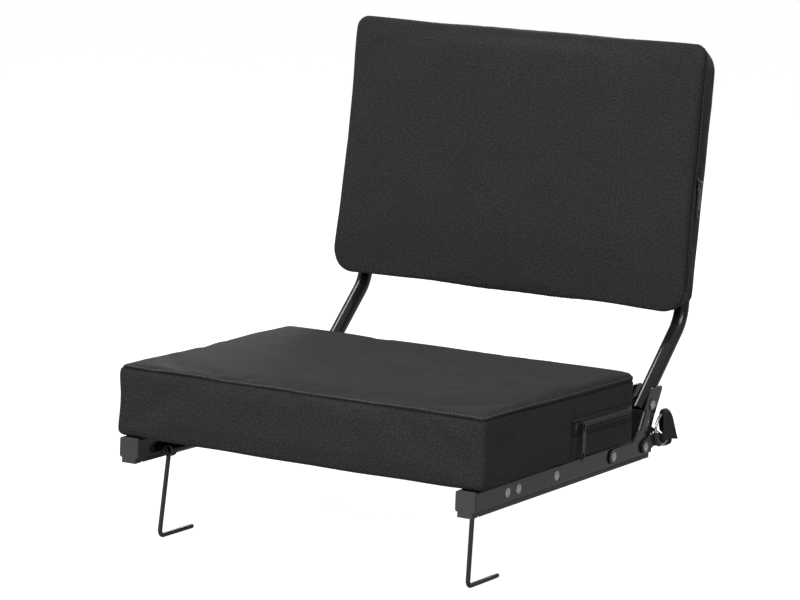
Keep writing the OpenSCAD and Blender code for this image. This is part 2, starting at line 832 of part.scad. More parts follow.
module back_shape(t) {
    ring_solid([for (p = back_skin)
        back_ring(p[0] + t, p[1] < -back_front + 2 ? p[1] + t : (p[1] > tube_d / 2 - 2 ? p[1] - t : p[1]))]);
}

module back_cover_solid() {
    difference() {
        back_shape(0);
        back_shape(cover_t);
        for (s = [-1, 1])
            translate([s * rail_x, 0, rear_low - 20])
                cylinder(d = tube_d + 2 * slide_gap, h = 42);
    }
}

panel_rear = -tube_d / 2 - soft_gap;
panel_front = panel_rear - panel_t;

module back_panel_solid() {
    along_y(panel_front, panel_t)
        polygon(rounded([[rear_half - 7, rear_top - 7, 30], [-rear_half + 7, rear_top - 7, 30],
                         [-rear_half + 7, rear_low + 8, 12], [rear_half - 7, rear_low + 8, 12]]));
}

module back_foam_solid() {
    t = cover_t + soft_gap;
    body = [for (p = back_skin) if (p[1] < panel_front - 4)
        back_ring(p[0] + t, p[1] < -back_front + 2 ? p[1] + t : p[1])];
    ring_solid(concat(body, [back_ring(t + 0.3, panel_front - soft_gap)]));
}

// The zip on the back pad's right side follows the side's own slope and taper.
zip_y = -back_front + back_zip_in;
zip_low = back_zip_top - back_zip_l;
function side_x(z, y) =
    let (u = (z - back_low) / back_h, t = back_share(y))
    (back_half_low + (back_half_top - back_half_low) * u) * (1 - t) + rear_half * t;
zip_tilt = atan((side_x(back_zip_top, zip_y - 5) - side_x(back_zip_top, zip_y + 5)) / 10);
zip_taper = atan((side_x(back_zip_top, zip_y) - side_x(zip_low, zip_y)) / back_zip_l);

// Puts its children at the zip's upper end: X out of the pad's side, Z up along the zip.
module at_back_zip() {
    at_back()
        translate([side_x(back_zip_top, zip_y) + 0.05, zip_y, back_zip_top])
            rotate([0, zip_taper, 0])
                rotate([0, 0, zip_tilt])
                    children();
}

hook_foot_z = pin_z - hook_drop;

// A hook bent from one wire: a coiled eye on the pin, a leg and a foot towards the rear.
module hook(slant, slide) {
    turn_a = 90 + slant;
    run = hook_r * tan(turn_a / 2);
    fall = hook_drop - eye_r;
    leg = fall / cos(slant) - run;
    foot_y = run - fall * tan(slant);
    translate([pin_x, eye_y - slide, 0]) {
        translate([0, 0, pin_z])
            rotate([-90, 0, 0])
                rotate_extrude() {
                    for (i = [0:eye_turns - 1])
                        translate([eye_r, i * coil])
                            circle(d = hook_d);
                    translate([eye_r - hook_d / 6, 0])
                        square([hook_d / 3, (eye_turns - 1) * coil]);
                }
        translate([0, 0, pin_z - eye_r])
            rotate([180 - slant, 0, 0]) {
                cylinder(d = hook_d, h = leg - butt);
                translate([0, 0, leg]) {
                    bend(hook_r, turn_a)
                        circle(d = hook_d);
                    translate([0, 0, -bend_mark / 2])
                        cylinder(d = hook_d + 0.1, h = bend_mark);
                }
            }
        translate([0, foot_y, hook_foot_z])
            rotate([-90, 0, 0]) {
                translate([0, 0, butt])
                    cylinder(d = hook_d, h = hook_foot - run - butt);
                translate([0, 0, -bend_mark / 2])
                    cylinder(d = hook_d + 0.1, h = bend_mark);
                translate([0, 0, hook_foot - run])
                    sphere(d = hook_d);
            }
    }
}

// The sheet bracket inside the rail, rolled round the hook's pin.
module hook_bracket() {
    y0 = hook_bracket_front;
    l = hook_bracket_l;
    shelf = pin_z + barrel_r - bracket_t;
    difference() {
        union() {
            along_x(bracket_in, bracket_t)
                polygon(rounded([[y0, shelf, 0], [y0 + l, shelf, 0],
                                 [y0 + l, rivet_z + 7, 5], [y0, rivet_z + 7, 5]]));
            translate([pin_x, y0, shelf])
                cube([rail_in - pin_x, l, bracket_t]);
            translate([pin_x, y0, pin_z])
                rotate([-90, 0, 0])
                    cylinder(r = barrel_r, h = l);
        }
        translate([pin_x, y0 - 1, pin_z])
            rotate([-90, 0, 0])
                cylinder(d = pin_d + 2 * hole_gap, h = l + 2);
        rivet_holes(bracket_in - 1, rail_in + 1);
        for (y = [rail_front + hook_rivet, rail_front + hook_rivet + hook_rivet_gap])
            bar_x(bracket_in - tail_h - 0.3, tail_h + 0.3, [y, rivet_z], tail_d + 0.6);
    }
}

module hook_pin() {
    translate([pin_x, pin_front, pin_z])
        rotate([-90, 0, 0]) {
            cylinder(d = pin_d, h = hook_bracket_front + hook_bracket_l - pin_front);
            cylinder(d = pin_d + 4, h = 2);
            translate([0, 0, hook_bracket_front + hook_bracket_l - pin_front])
                cylinder(d = pin_d + 3, h = 1.6);
        }
}

module strap_ring() {
    translate([ring_x, ring_y, ring_z])
        rotate([0, 90, 0])
            rotate_extrude()
                translate([ring_r, 0])
                    circle(d = ring_d);
}

// An arc of a tube round the ring's own line, between two angles in side view.
module ring_sleeve(r, a0, a1) {
    translate([ring_x, ring_y, ring_z])
        rotate([90, 0, 90])
            rotate([0, 0, a0])
                rotate_extrude(angle = a1 - a0)
                    translate([ring_r, 0])
                        circle(r);
}

// A sheet tab that turns on the bracket's rear rivet and is rolled round the ring.
module strap_tab() {
    e = [rear_rivet_y, rivet_z];
    hold = [for (a = [186, 214, 242]) [ring_y, ring_z] + ring_r * [cos(a), sin(a)]];
    difference() {
        union() {
            along_x(tab_x, tab_t)
                polygon(concat(arc(e, 7, 100, 260, 12), [hold[2], hold[1], hold[0]]));
            ring_sleeve(sleeve_r, 184, 244);
        }
        ring_sleeve(ring_d / 2 + slide_gap, 168, 260);
        bar_x(tab_x - 1, tab_t + 2, e, rivet_d + 2 * run_gap);
        translate([tab_x - 10, 0, 0])
            cube([10, rail_l, rail_l]);
    }
}

strap_end_y = ring_y + ring_r;
strap_y = rail_rear + strap_back;
strap_sag = ring_z - strap_w / 2 - 1;
strap_turn = 34;

// The strap's route behind the rails: x, y and the height of its middle.
function strap_point(u) =
    let (x = (ring_x - strap_turn) * u, bend = pow(abs(u), 6))
    [x, strap_y - 6 * bend, ring_z - strap_sag * (1 - pow(abs(u), 2.5))];
function strap_corner(a) =
    [ring_x - strap_turn + (strap_turn - loop_r + strap_t / 2) * sin(a),
     strap_y - 6 - 18 * (1 - cos(a)), ring_z];

strap_route = concat(
    [for (i = [6:-1:1]) let (p = strap_corner(15 * i)) [-p[0], p[1], p[2]]],
    [for (i = [-10:10]) strap_point(i / 10)],
    [for (i = [1:6]) strap_corner(15 * i)]);

// A flat ring of four points across the route at point i, thickness level, width upright.
function strap_section(i) =
    let (n = len(strap_route), a = strap_route[max(0, i - 1)], b = strap_route[min(n - 1, i + 1)],
         p = strap_route[i], d = unit([b[0] - a[0], b[1] - a[1]]), s = [-d[1], d[0]] * strap_t / 2)
    [[p[0] + s[0], p[1] + s[1], p[2] - strap_w / 2], [p[0] - s[0], p[1] - s[1], p[2] - strap_w / 2],
     [p[0] - s[0], p[1] - s[1], p[2] + strap_w / 2], [p[0] + s[0], p[1] + s[1], p[2] + strap_w / 2]];

loop_in = ring_y - sqrt(pow(ring_r - ring_d / 2, 2) - pow(strap_w / 2, 2)) + slide_gap;

// The webbing's loop through a ring: a long eye, flat against the ring's two faces.
module strap_loop() {
    far = strap_end_y + loop_r - strap_t / 2;
    near = loop_in + loop_r;
    translate([0, 0, ring_z - strap_w / 2])
        linear_extrude(strap_w)
            difference() {
                union() {
                    for (y = [near, far])
                        translate([ring_x, y])
                            circle(loop_r);
                    translate([ring_x - loop_r, near])
                        square([2 * loop_r, far - near]);
                    translate([ring_x - loop_r, near])
                        square([strap_t, strap_y - 24 - near]);
                }
                for (y = [near, far])
                    translate([ring_x, y])
                        circle(loop_r - strap_t);
                translate([ring_x - loop_r + strap_t, near])
                    square([2 * (loop_r - strap_t), far - near]);
            }
}

steel_black = [0.13, 0.13, 0.14];
cloth_black = [0.17, 0.17, 0.18];
plastic_black = [0.2, 0.2, 0.21];
zinc = [0.75, 0.76, 0.78];

module left_rail() { color(steel_black) placed() left() rail(); }
module right_rail() { color(steel_black) placed() rail(); }
module left_foot_strip() { color("dimgray") placed() left() foot_strip(); }
module right_foot_strip() { color("dimgray") placed() foot_strip(); }
module front_left_cap() { color(plastic_black) placed() left() end_cap(); }
module front_right_cap() { color(plastic_black) placed() end_cap(); }
module rear_left_cap() { color(plastic_black) placed() left() mirror([0, 1, 0]) end_cap(); }
module rear_right_cap() { color(plastic_black) placed() mirror([0, 1, 0]) end_cap(); }
module middle_cross_bar() { color(steel_black) placed() cross_bar(mid_y, rail_in); }
module rear_cross_bar() { color(steel_black) placed() cross_bar(rear_y, bracket_in); }
module base_cloth() { color("dimgray") placed() base_cloth_solid(); }
module seat_board() { color("burlywood") placed() board_solid(); }
module seat_screws() { color(zinc) placed() each_screw() screw(); }
module seat_foam() { color("khaki") placed() seat_foam_solid(); }
module seat_cover() { color(cloth_black) placed() seat_cover_solid(); }
module pocket_panel() { color(cloth_black) placed() pocket_panel_solid(); }
module pocket_zip() { color(plastic_black) placed() at_pocket_zip() chain(pocket_l - 2 * chain_in); }
module pocket_slider() { color(steel_black) placed() at_pocket_zip() translate([0, 0, 3]) slider(90); }
module pocket_pull() {
    color(plastic_black) placed()
        translate([pocket_x + panel_skin + chain_t + 0.15 + slide_gap + pull_axis,
                   pocket_rear - pocket_l + chain_in + 3 + slider_l / 2, pocket_zip_z])
            pull();
}
module left_hinge_bracket() { color(steel_black) placed() left() hinge_bracket(); }
module right_hinge_bracket() { color(steel_black) placed() hinge_bracket(); }
module left_rail_rivets() { color(zinc) placed() left() rail_rivets(); }
module right_rail_rivets() { color(zinc) placed() rail_rivets(); }
module left_pivot_rivet() { color(zinc) placed() left() pivot_rivet(); }
module right_pivot_rivet() { color(zinc) placed() pivot_rivet(); }
module left_pivot_spacers() { color("white") placed() left() pivot_spacers(); }
module right_pivot_spacers() { color("white") placed() pivot_spacers(); }
module back_frame() { color(steel_black) placed() back_frame_solid(); }
module back_panel() { color("dimgray") placed() at_back() back_panel_solid(); }
module back_foam() { color("khaki") placed() at_back() back_foam_solid(); }
module back_cover() { color(cloth_black) placed() at_back() back_cover_solid(); }
module back_zip() { color(plastic_black) placed() at_back_zip() translate([0, 0, -back_zip_l]) chain(back_zip_l); }
module back_slider() { color(steel_black) placed() at_back_zip() translate([0, 0, -slider_l - 3]) slider(0); }
module back_pull() {
    color(plastic_black) placed()
        at_back_zip()
            translate([chain_t + 0.15 + slide_gap + pull_axis, 0, -slider_l / 2 - 3])
                pull();
}
module left_hook_bracket() { color(steel_black) placed() left() hook_bracket(); }
module right_hook_bracket() { color(steel_black) placed() hook_bracket(); }
module left_hook_pin() { color(zinc) placed() left() hook_pin(); }
module right_hook_pin() { color(zinc) placed() hook_pin(); }
module left_hook() { color(steel_black) placed() left() hook(left_slant, left_slide); }
module right_hook() { color(steel_black) placed() hook(right_slant, right_slide); }
module left_strap_tab() { color(steel_black) placed() left() strap_tab(); }
module right_strap_tab() { color(steel_black) placed() strap_tab(); }
module left_strap_ring() { color(zinc) placed() left() strap_ring(); }
module right_strap_ring() { color(zinc) placed() strap_ring(); }
module carry_strap() {
    color(cloth_black) placed() {
        ring_solid([for (i = [0:len(strap_route) - 1]) strap_section(i)]);
        strap_loop();
        left() strap_loop();
    }
}

left_rail();
right_rail();
left_foot_strip();
right_foot_strip();
front_left_cap();
front_right_cap();
rear_left_cap();
rear_right_cap();
middle_cross_bar();
rear_cross_bar();
base_cloth();
seat_board();
seat_screws();
seat_foam();
seat_cover();
pocket_panel();
pocket_zip();
pocket_slider();
pocket_pull();
left_hinge_bracket();
right_hinge_bracket();
left_rail_rivets();
right_rail_rivets();
left_pivot_rivet();
right_pivot_rivet();
left_pivot_spacers();
right_pivot_spacers();
back_frame();
back_panel();
back_foam();
back_cover();
back_zip();
back_slider();
back_pull();
left_hook_bracket();
right_hook_bracket();
left_hook_pin();
right_hook_pin();
left_hook();
right_hook();
left_strap_tab();
right_strap_tab();
left_strap_ring();
right_strap_ring();
carry_strap();
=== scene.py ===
# %% [markdown]
# # A folding seat for stadium benches
# Two steel rails carry a padded seat, a bent tube carries a padded back that folds down over it, and
# two wire hooks catch the bench from below. The CAD model already holds every rigid part in its place,
# so this lesson adds what CAD leaves out: sewn cushions, zips and webbing, and a finish for each
# material. Each cell says what a thing is on the real seat, then makes it.

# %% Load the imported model
import json
import math

import bpy
import numpy as np
from mathutils import Matrix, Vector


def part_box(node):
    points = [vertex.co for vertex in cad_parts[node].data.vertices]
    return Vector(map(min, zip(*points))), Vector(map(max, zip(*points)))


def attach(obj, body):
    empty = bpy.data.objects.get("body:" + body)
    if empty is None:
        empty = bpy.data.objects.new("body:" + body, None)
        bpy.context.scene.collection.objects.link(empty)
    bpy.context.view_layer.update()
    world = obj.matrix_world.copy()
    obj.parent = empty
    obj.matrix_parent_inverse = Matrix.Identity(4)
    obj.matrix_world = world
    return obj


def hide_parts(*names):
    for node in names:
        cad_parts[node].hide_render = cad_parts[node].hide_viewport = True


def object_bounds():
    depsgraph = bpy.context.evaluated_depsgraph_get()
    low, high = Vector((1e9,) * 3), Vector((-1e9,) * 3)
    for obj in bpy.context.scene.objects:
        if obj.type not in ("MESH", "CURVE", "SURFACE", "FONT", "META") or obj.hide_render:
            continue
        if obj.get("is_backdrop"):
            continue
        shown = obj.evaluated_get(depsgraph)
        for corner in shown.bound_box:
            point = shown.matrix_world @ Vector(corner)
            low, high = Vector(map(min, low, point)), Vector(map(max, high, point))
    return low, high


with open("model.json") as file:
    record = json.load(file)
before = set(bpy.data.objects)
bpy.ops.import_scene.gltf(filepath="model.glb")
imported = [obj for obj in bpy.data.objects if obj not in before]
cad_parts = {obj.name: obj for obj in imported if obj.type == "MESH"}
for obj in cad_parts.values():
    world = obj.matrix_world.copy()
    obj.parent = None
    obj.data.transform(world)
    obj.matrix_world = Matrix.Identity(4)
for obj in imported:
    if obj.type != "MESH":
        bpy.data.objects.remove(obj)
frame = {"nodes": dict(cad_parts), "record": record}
cad_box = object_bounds()
MM = 0.001

# %% [markdown]
# ## The camera
# The photograph was taken with a long lens, from the front right and a little above. A camera can be
# aimed with angles, but a matrix built from three directions leaves no doubt about its tilt: where it
# looks, what is to its right, and what is up. It is measured from the middle of the seat's front edge,
# at the top of the rails, so it keeps its place when the CAD model changes.

# %% Camera
AZIMUTH, ELEVATION, ROLL = map(math.radians, (30.13, 9.22, 2.14))
front_low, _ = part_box("front_right_cap")
_, rail_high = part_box("right_rail")
seat_mark = np.array([0, front_low.y + 3.4 * MM, rail_high.z])
camera_at = seat_mark + np.array([1832.2, -2958.8, 734.2]) * MM


def aimed(name, data, at, look, roll=0.0):
    """A camera or lamp at a point, looking along a direction. Its own axes, which are the columns of its
    matrix, point to its right, up and backwards."""
    holder = bpy.data.objects.new(name, data)
    bpy.context.scene.collection.objects.link(holder)
    look = look / np.linalg.norm(look)
    right = np.cross(look, [0, 0, 1])
    right /= np.linalg.norm(right)
    up = np.cross(right, look)
    turned = math.cos(roll) * right + math.sin(roll) * up, math.cos(roll) * up - math.sin(roll) * right
    matrix = np.eye(4)
    matrix[:3] = np.column_stack([*turned, -look, at])
    holder.matrix_world = Matrix(matrix.tolist())
    return holder


view = np.array([-math.sin(AZIMUTH) * math.cos(ELEVATION),
                 math.cos(AZIMUTH) * math.cos(ELEVATION), -math.sin(ELEVATION)])
camera = aimed("camera", bpy.data.cameras.new("camera"), camera_at, view, ROLL)
camera.data.sensor_fit, camera.data.sensor_width = "HORIZONTAL", 36.0
camera.data.lens = 159.8  # fitted to the photograph with the camera's place and angles
camera.data.clip_end = 60
bpy.context.scene.camera = camera
print("camera at", camera_at.round(3))

# %% [markdown]
# ## From arrays to a mesh
# Most pieces here are soft, and a soft surface is easiest to give as a grid: two numbers run over it,
# and each pair gives a point. Several grids can meet, as a cushion's top meets its sides, so the
# points that coincide are made into one vertex. The grid's own flat coordinates are kept as a UV map,
# because the weave of a cloth follows the cloth and not the room.

# %% Grids into one mesh
SAME = 1e-6  # points that round to the same micrometre are one
OFF_CENTRE = 0.2713  # keeps round numbers away from the rounding's edge


def weld(grids):
    """The vertices of several grids, with coinciding points merged. Also gives the grid point that each
    vertex comes from, the vertex of each grid point, and the grid points at each quad's corners."""
    points = np.concatenate([g.reshape(-1, 3) for g in grids])
    cell = np.round(points / SAME + OFF_CENTRE).astype(np.int64)
    _, first, where = np.unique(cell, axis=0, return_index=True, return_inverse=True)
    where = where.reshape(-1)
    corners, start = [], 0
    for g in grids:
        rows, columns = g.shape[:2]
        i, j = np.meshgrid(np.arange(rows - 1), np.arange(columns - 1), indexing="ij")
        quad = np.stack([i * columns + j, i * columns + j + 1,
                         (i + 1) * columns + j + 1, (i + 1) * columns + j], -1)
        corners.append(quad.reshape(-1, 4) + start)
        start += rows * columns
    return points[first], first, where, np.concatenate(corners)


def spans(grids):
    """Where each grid's points lie in the list of all their points, as slices."""
    counts = [g.shape[0] * g.shape[1] for g in grids]
    return [slice(end - count, end) for end, count in zip(np.cumsum(counts), counts)]


def vertex_normals(points, quads):
    """Unit normals: each vertex gets the sum of its quads' normals, which are longer on larger quads."""
    diagonal_a = points[quads[:, 2]] - points[quads[:, 0]]
    diagonal_b = points[quads[:, 3]] - points[quads[:, 1]]
    faces = np.cross(diagonal_a, diagonal_b)
    total = np.zeros_like(points)
    for k in range(4):
        np.add.at(total, quads[:, k], faces)
    return total / np.maximum(np.linalg.norm(total, axis=1, keepdims=True), 1e-12)


def volume_of(points, quads):
    """Signed volume of a closed mesh, positive where its quads face outwards."""
    a, b, c, d = (points[quads[:, k]] for k in range(4))
    halves = [np.einsum("ij,ij->i", a, np.cross(*pair)) for pair in ((b, c), (c, d))]
    return (halves[0] + halves[1]).sum() / 6


def outward(points, where, corners):
    """Quads as vertices and as grid points, both turned over where a closed mesh would face inwards."""
    quads = where[corners]
    step = -1 if volume_of(points, quads) < 0 else 1
    return quads[:, ::step], corners[:, ::step]


def mesh_object(name, points, quads, uv=None):
    """An object at the origin from vertices, quads and, where given, a UV for each quad corner."""
    kept = quads != np.roll(quads, -1, axis=1)  # a repeated corner makes a quad a triangle
    sizes = kept.sum(1)
    mesh = bpy.data.meshes.new(name)
    mesh.vertices.add(len(points))
    mesh.vertices.foreach_set("co", np.asarray(points, np.float32).ravel())
    mesh.loops.add(int(sizes.sum()))
    mesh.loops.foreach_set("vertex_index", quads[kept].astype(np.int32))
    mesh.polygons.add(len(quads))
    mesh.polygons.foreach_set("loop_start", (np.cumsum(sizes) - sizes).astype(np.int32))
    mesh.update(calc_edges=True)
    mesh.polygons.foreach_set("use_smooth", np.ones(len(quads), bool))
    if uv is not None:
        layer = mesh.uv_layers.new(name="cloth")
        layer.data.foreach_set("uv", np.asarray(uv[kept], np.float32).ravel())
    mesh.validate()
    piece = bpy.data.objects.new(name, mesh)
    bpy.context.scene.collection.objects.link(piece)
    return piece


def piece_from(name, grids, uvs=None, closed=True):
    """A piece from grids, turned so that a closed one faces outwards. Quads that shrank to a line go."""
    points, _, where, corners = weld(grids)
    quads = where[corners]
    corners = corners[(quads[:, 0] != quads[:, 2]) & (quads[:, 1] != quads[:, 3])]
    quads, corners = outward(points, where, corners) if closed else (where[corners], corners)
    flat = np.concatenate([u.reshape(-1, 2) for u in uvs])[corners] if uvs else None
    return mesh_object(name, points, quads, flat)


print("grids of points become meshes with weld() and mesh_object()")

# %% [markdown]
# ## Outlines and profiles
# A cushion cover is sewn from a face panel, a long strip round its sides (the gusset) and a rear
# panel. One function covers them all: an outline with soft corners is carried through a profile of
# inset and depth, from the face, over the edge, down the side and under. The outline's four sides
# draw in a little between the corners, as a stretched cover does.

# %% Soft outlines
def smooth_curve(points, count):
    """A Catmull-Rom curve through the points, sampled at count places evenly spaced along it."""
    p = np.asarray(points, float)
    p = np.vstack([2 * p[0] - p[1], p, 2 * p[-1] - p[-2]])
    t = np.linspace(0, 1, 24, endpoint=False)[:, None]
    a, b, c, d = p[:-3, None], p[1:-2, None], p[2:-1, None], p[3:, None]
    dense = 0.5 * (2 * b + (c - a) * t + (2 * a - 5 * b + 4 * c - d) * t**2
                   + (3 * b - a - 3 * c + d) * t**3)
    dense = np.vstack([dense.reshape(-1, p.shape[1]), p[-2]])
    return along(dense, np.linspace(0, 1, count))


def lengths(path):
    """Distance of each point of a polyline from its start."""
    return np.concatenate([[0], np.cumsum(np.linalg.norm(np.diff(path, axis=0), axis=1))])


def along(path, shares):
    """Points of a polyline at the given shares of its length."""
    s = lengths(path)
    at = np.asarray(shares) * s[-1]
    return np.stack([np.interp(at, s, column) for column in path.T], -1)


def soft_side(start, end, radius_a, radius_b, bow):
    """One side of an outline that runs anticlockwise, from the middle of one corner's arc to the next's.
    start and end are the sharp corners. The straight part sinks inwards by bow in its middle."""
    start, end = np.array(start, float), np.array(end, float)
    d = (end - start) / np.linalg.norm(end - start)
    inward = np.array([-d[1], d[0]])

    def arc(centre, radius, turns):
        return np.array([centre + radius * (d * math.sin(t) - inward * math.cos(t))
                         for t in np.radians(turns)])

    arc_a = arc(start + d * radius_a + inward * radius_a, radius_a, np.linspace(-45, 0, 12))
    arc_b = arc(end - d * radius_b + inward * radius_b, radius_b, np.linspace(0, 45, 12))
    u = np.linspace(0, 1, 42)[1:-1, None]
    straight = arc_a[-1] + (arc_b[0] - arc_a[-1]) * u + inward * bow * 4 * u * (1 - u)
    return np.vstack([arc_a, straight, arc_b])


def soft_ring(corners, bow, cells):
    """A closed ring round four corners (x, y, radius), with cells[0] steps along its first and third
    sides and cells[1] along the others. The last point repeats the first."""
    sides = []
    for k in range(4):
        a, b = corners[k], corners[(k + 1) % 4]
        side = soft_side(a[:2], b[:2], a[2], b[2], bow)
        sides.append(along(side, np.linspace(0, 1, cells[k % 2] + 1))[:-1])
    ring = np.vstack(sides)
    return np.vstack([ring, ring[:1]])


def coons(ring, cells):
    """The flat patch inside a ring: each point is what its row and its column of edge points say,
    less what the four corners count twice."""
    n, m = cells
    low, right = ring[:n + 1], ring[n:n + m + 1]
    high, left = ring[n + m:2 * n + m + 1][::-1], ring[2 * n + m:][::-1]
    u, v = np.linspace(0, 1, n + 1)[None, :, None], np.linspace(0, 1, m + 1)[:, None, None]
    edges = (1 - v) * low[None] + v * high[None] + (1 - u) * left[:, None] + u * right[:, None]
    corners = ((1 - u) * (1 - v) * low[0] + u * (1 - v) * low[-1]
               + (1 - u) * v * high[0] + u * v * high[-1])
    return edges - corners


def bump(x, start, end, soft):
    """1 between start and end, easing to 0 over the given softness outside them."""
    a = np.clip((x - start) / soft + 0.5, 0, 1)
    b = np.clip((end - x) / soft + 0.5, 0, 1)
    return a * a * (3 - 2 * a) * b * b * (3 - 2 * b)


print("a soft ring of", len(soft_ring([(0, 0, 1), (9, 0, 1), (9, 9, 1), (0, 9, 1)], 0, (8, 8))),
      "points is filled by coons()")

# %% [markdown]
# ## A pad with seams
# The pad is worked out twice. A coarse one is blown up a little with a cloth simulation, which finds
# the swelling and the puckers that sewing gives. A fine one, with rows of points lying close together
# at the seams, takes the coarse one's movement and then gets the narrow things no simulation at this
# size can hold: the groove of each seam, and the short creases of the photograph.

# %% The pad's grids
COARSE = 6 * MM  # cell of the simulated pad
FINE = 2.8 * MM  # cell of the finished pad
SEAM_ROWS = np.array([0.5, 1.0, 1.6, 2.4, 3.6]) * MM  # rows beside a seam of the finished pad
APART = [7, 0]  # metres between the cloth coordinates of one strip and the next
REAR_APART = [31, 0]  # and from the face's to the rear's


class Pad:
    """A cushion in its own coordinates: x and y across its face, z out of the face. The profile is a
    curve of (inset, z) from the face over the side to the rear; seams are shares of its length."""

    def __init__(self, face, rear, bow, profile, share, crown):
        self.face, self.rear, self.bow = face, rear, bow
        self.profile = smooth_curve(profile, 400)
        self.share, self.crown, self.seams = share, crown, []
        xs, ys = [c[0] for c in face], [c[1] for c in face]
        self.middle = np.array([(min(xs) + max(xs)) / 2, (min(ys) + max(ys)) / 2])
        self.half = np.array([max(xs) - min(xs), max(ys) - min(ys)]) / 2
        self.length = lengths(self.profile)[-1]

    def cells(self, cell):
        """Steps along the two directions of the face for a given size of cell."""
        return [max(8, int(round(2 * h / cell))) for h in self.half]

    def shell(self, places, cells):
        """Points at places along the profile (rows x columns, as shares of its length)."""
        inset, depth = along(self.profile, places.ravel()).T.reshape(2, *places.shape)
        front = soft_ring(self.face, self.bow, cells)
        back = soft_ring(self.rear, 0, cells)
        mixed = self.share(depth)[..., None]
        ring = front * (1 - mixed) + back * mixed
        scale = (self.half - inset[..., None]) / self.half
        flat = self.middle + (ring - self.middle) * scale
        return np.concatenate([flat, depth[..., None]], -1)

    def rows(self, fine):
        """For each strip between seams, how far its rows lie from one seam to the next, 0 to 1.
        A fine pad has its rows close together beside a seam, and a cell's width apart further on."""
        stops = [0, *[float(np.mean(s)) for s in self.seams], 1]
        out = []
        for k in range(len(stops) - 1):
            span = (stops[k + 1] - stops[k]) * self.length
            if not fine:
                out.append(np.linspace(0, 1, max(2, int(round(span / COARSE))) + 1))
                continue
            close = SEAM_ROWS[SEAM_ROWS < span * 0.45]
            head = close if k else close[:0]
            tail = close if k < len(self.seams) else close[:0]
            start, end = (head[-1] if len(head) else 0), span - (tail[-1] if len(tail) else 0)
            middle = np.linspace(start, end, max(2, int(round((end - start) / FINE))) + 1)
            places = np.concatenate([[0], head, middle, span - tail[::-1], [span]])
            out.append(np.unique(np.round(places, 7)) / span)
        return out

    def grids(self, fine):
        """Face patch, strips and rear patch, and the flat coordinates of the cloth on each."""
        cells = self.cells(FINE if fine else COARSE)
        columns = 2 * sum(cells) + 1
        way = np.linspace(0, 1, columns)
        stops = [np.zeros(columns), *[np.interp(way, np.linspace(0, 1, np.size(s)), np.atleast_1d(s))
                                      for s in self.seams], np.ones(columns)]
        strips, flat, places = [], [], []
        rim = self.shell(np.zeros((1, columns)), cells)[0]
        for k, r in enumerate(self.rows(fine)):
            place = stops[k] + (stops[k + 1] - stops[k]) * r[:, None]
            strips.append(self.shell(place, cells))
            places.append(place)
        girth = lengths(strips[0][-1])
        for k, place in enumerate(places):
            down = place * self.length
            if k == 0:
                out = strips[0][:, :, :2] - self.middle
                size = np.maximum(np.linalg.norm(out, axis=-1, keepdims=True), 1e-9)
                gap = np.linalg.norm(strips[0][:, :, :2] - rim[:, :2], axis=-1)
                flat.append(strips[0][:, :, :2] + out / size * np.maximum(down - gap, 0)[..., None])
            else:
                flat.append(np.stack([np.broadcast_to(girth, down.shape), down], -1)
                            + k * np.array(APART))
        face, rear = coons(strips[0][0], cells), coons(strips[-1][-1], cells)
        s, t = np.linspace(-1, 1, cells[0] + 1)[None], np.linspace(-1, 1, cells[1] + 1)[:, None]
        bulge = (1 - s**2) * (1 - t**2)
        face[..., 2] += self.crown * (1 - (1 - bulge)**3)
        face = face.transpose(1, 0, 2)  # rows and columns swap, because the strips wind the other way
        return ([face, *strips, rear], [face[..., :2], *flat, rear[..., :2] + REAR_APART],
                [None, *places, None], cells)


def resample(field, rows, columns):
    """Values of a grid between its points, by cubic steps along its rows and then its columns."""
    for axis, at in ((0, rows), (1, columns)):
        k = np.clip(np.floor(at).astype(int), 0, field.shape[axis] - 2)
        t = (at - k)[:, None, None] if axis == 0 else (at - k)[None, :, None]
        last = field.shape[axis] - 1
        a, b, c, d = (np.take(field, np.clip(k + j, 0, last), axis=axis) for j in (-1, 0, 1, 2))
        field = b + 0.5 * t * (c - a + t * (2 * a - 5 * b + 4 * c - d + t * (3 * (b - c) + d - a)))
    return field


print("pads are made of a face patch, strips between seams and a rear patch")

# %% [markdown]
# ## Blowing up the pad
# The cloth starts on the pad's surface and is pushed outwards by a light pressure, without gravity.
# The seams are told to shrink by half a per cent, because thread pulls the cloth together, and that is
# what makes the small puckers beside them. The rear, which is stapled to a board, is pinned. Twenty
# frames are enough. A movement d becomes limit x tanh(d / limit), so none grows past the limit.

# %% Cloth simulation
SIM_FRAMES = 20
SWELL_LIMIT = 4 * MM
THREAD_SHRINK = 0.006


def from_frame(vectors, to_frame):
    """Directions of the row frame in the pad's own coordinates, where to_frame turns and shifts."""
    turn = to_frame(np.eye(3)) - to_frame(np.zeros((1, 3)))
    return vectors @ turn.T


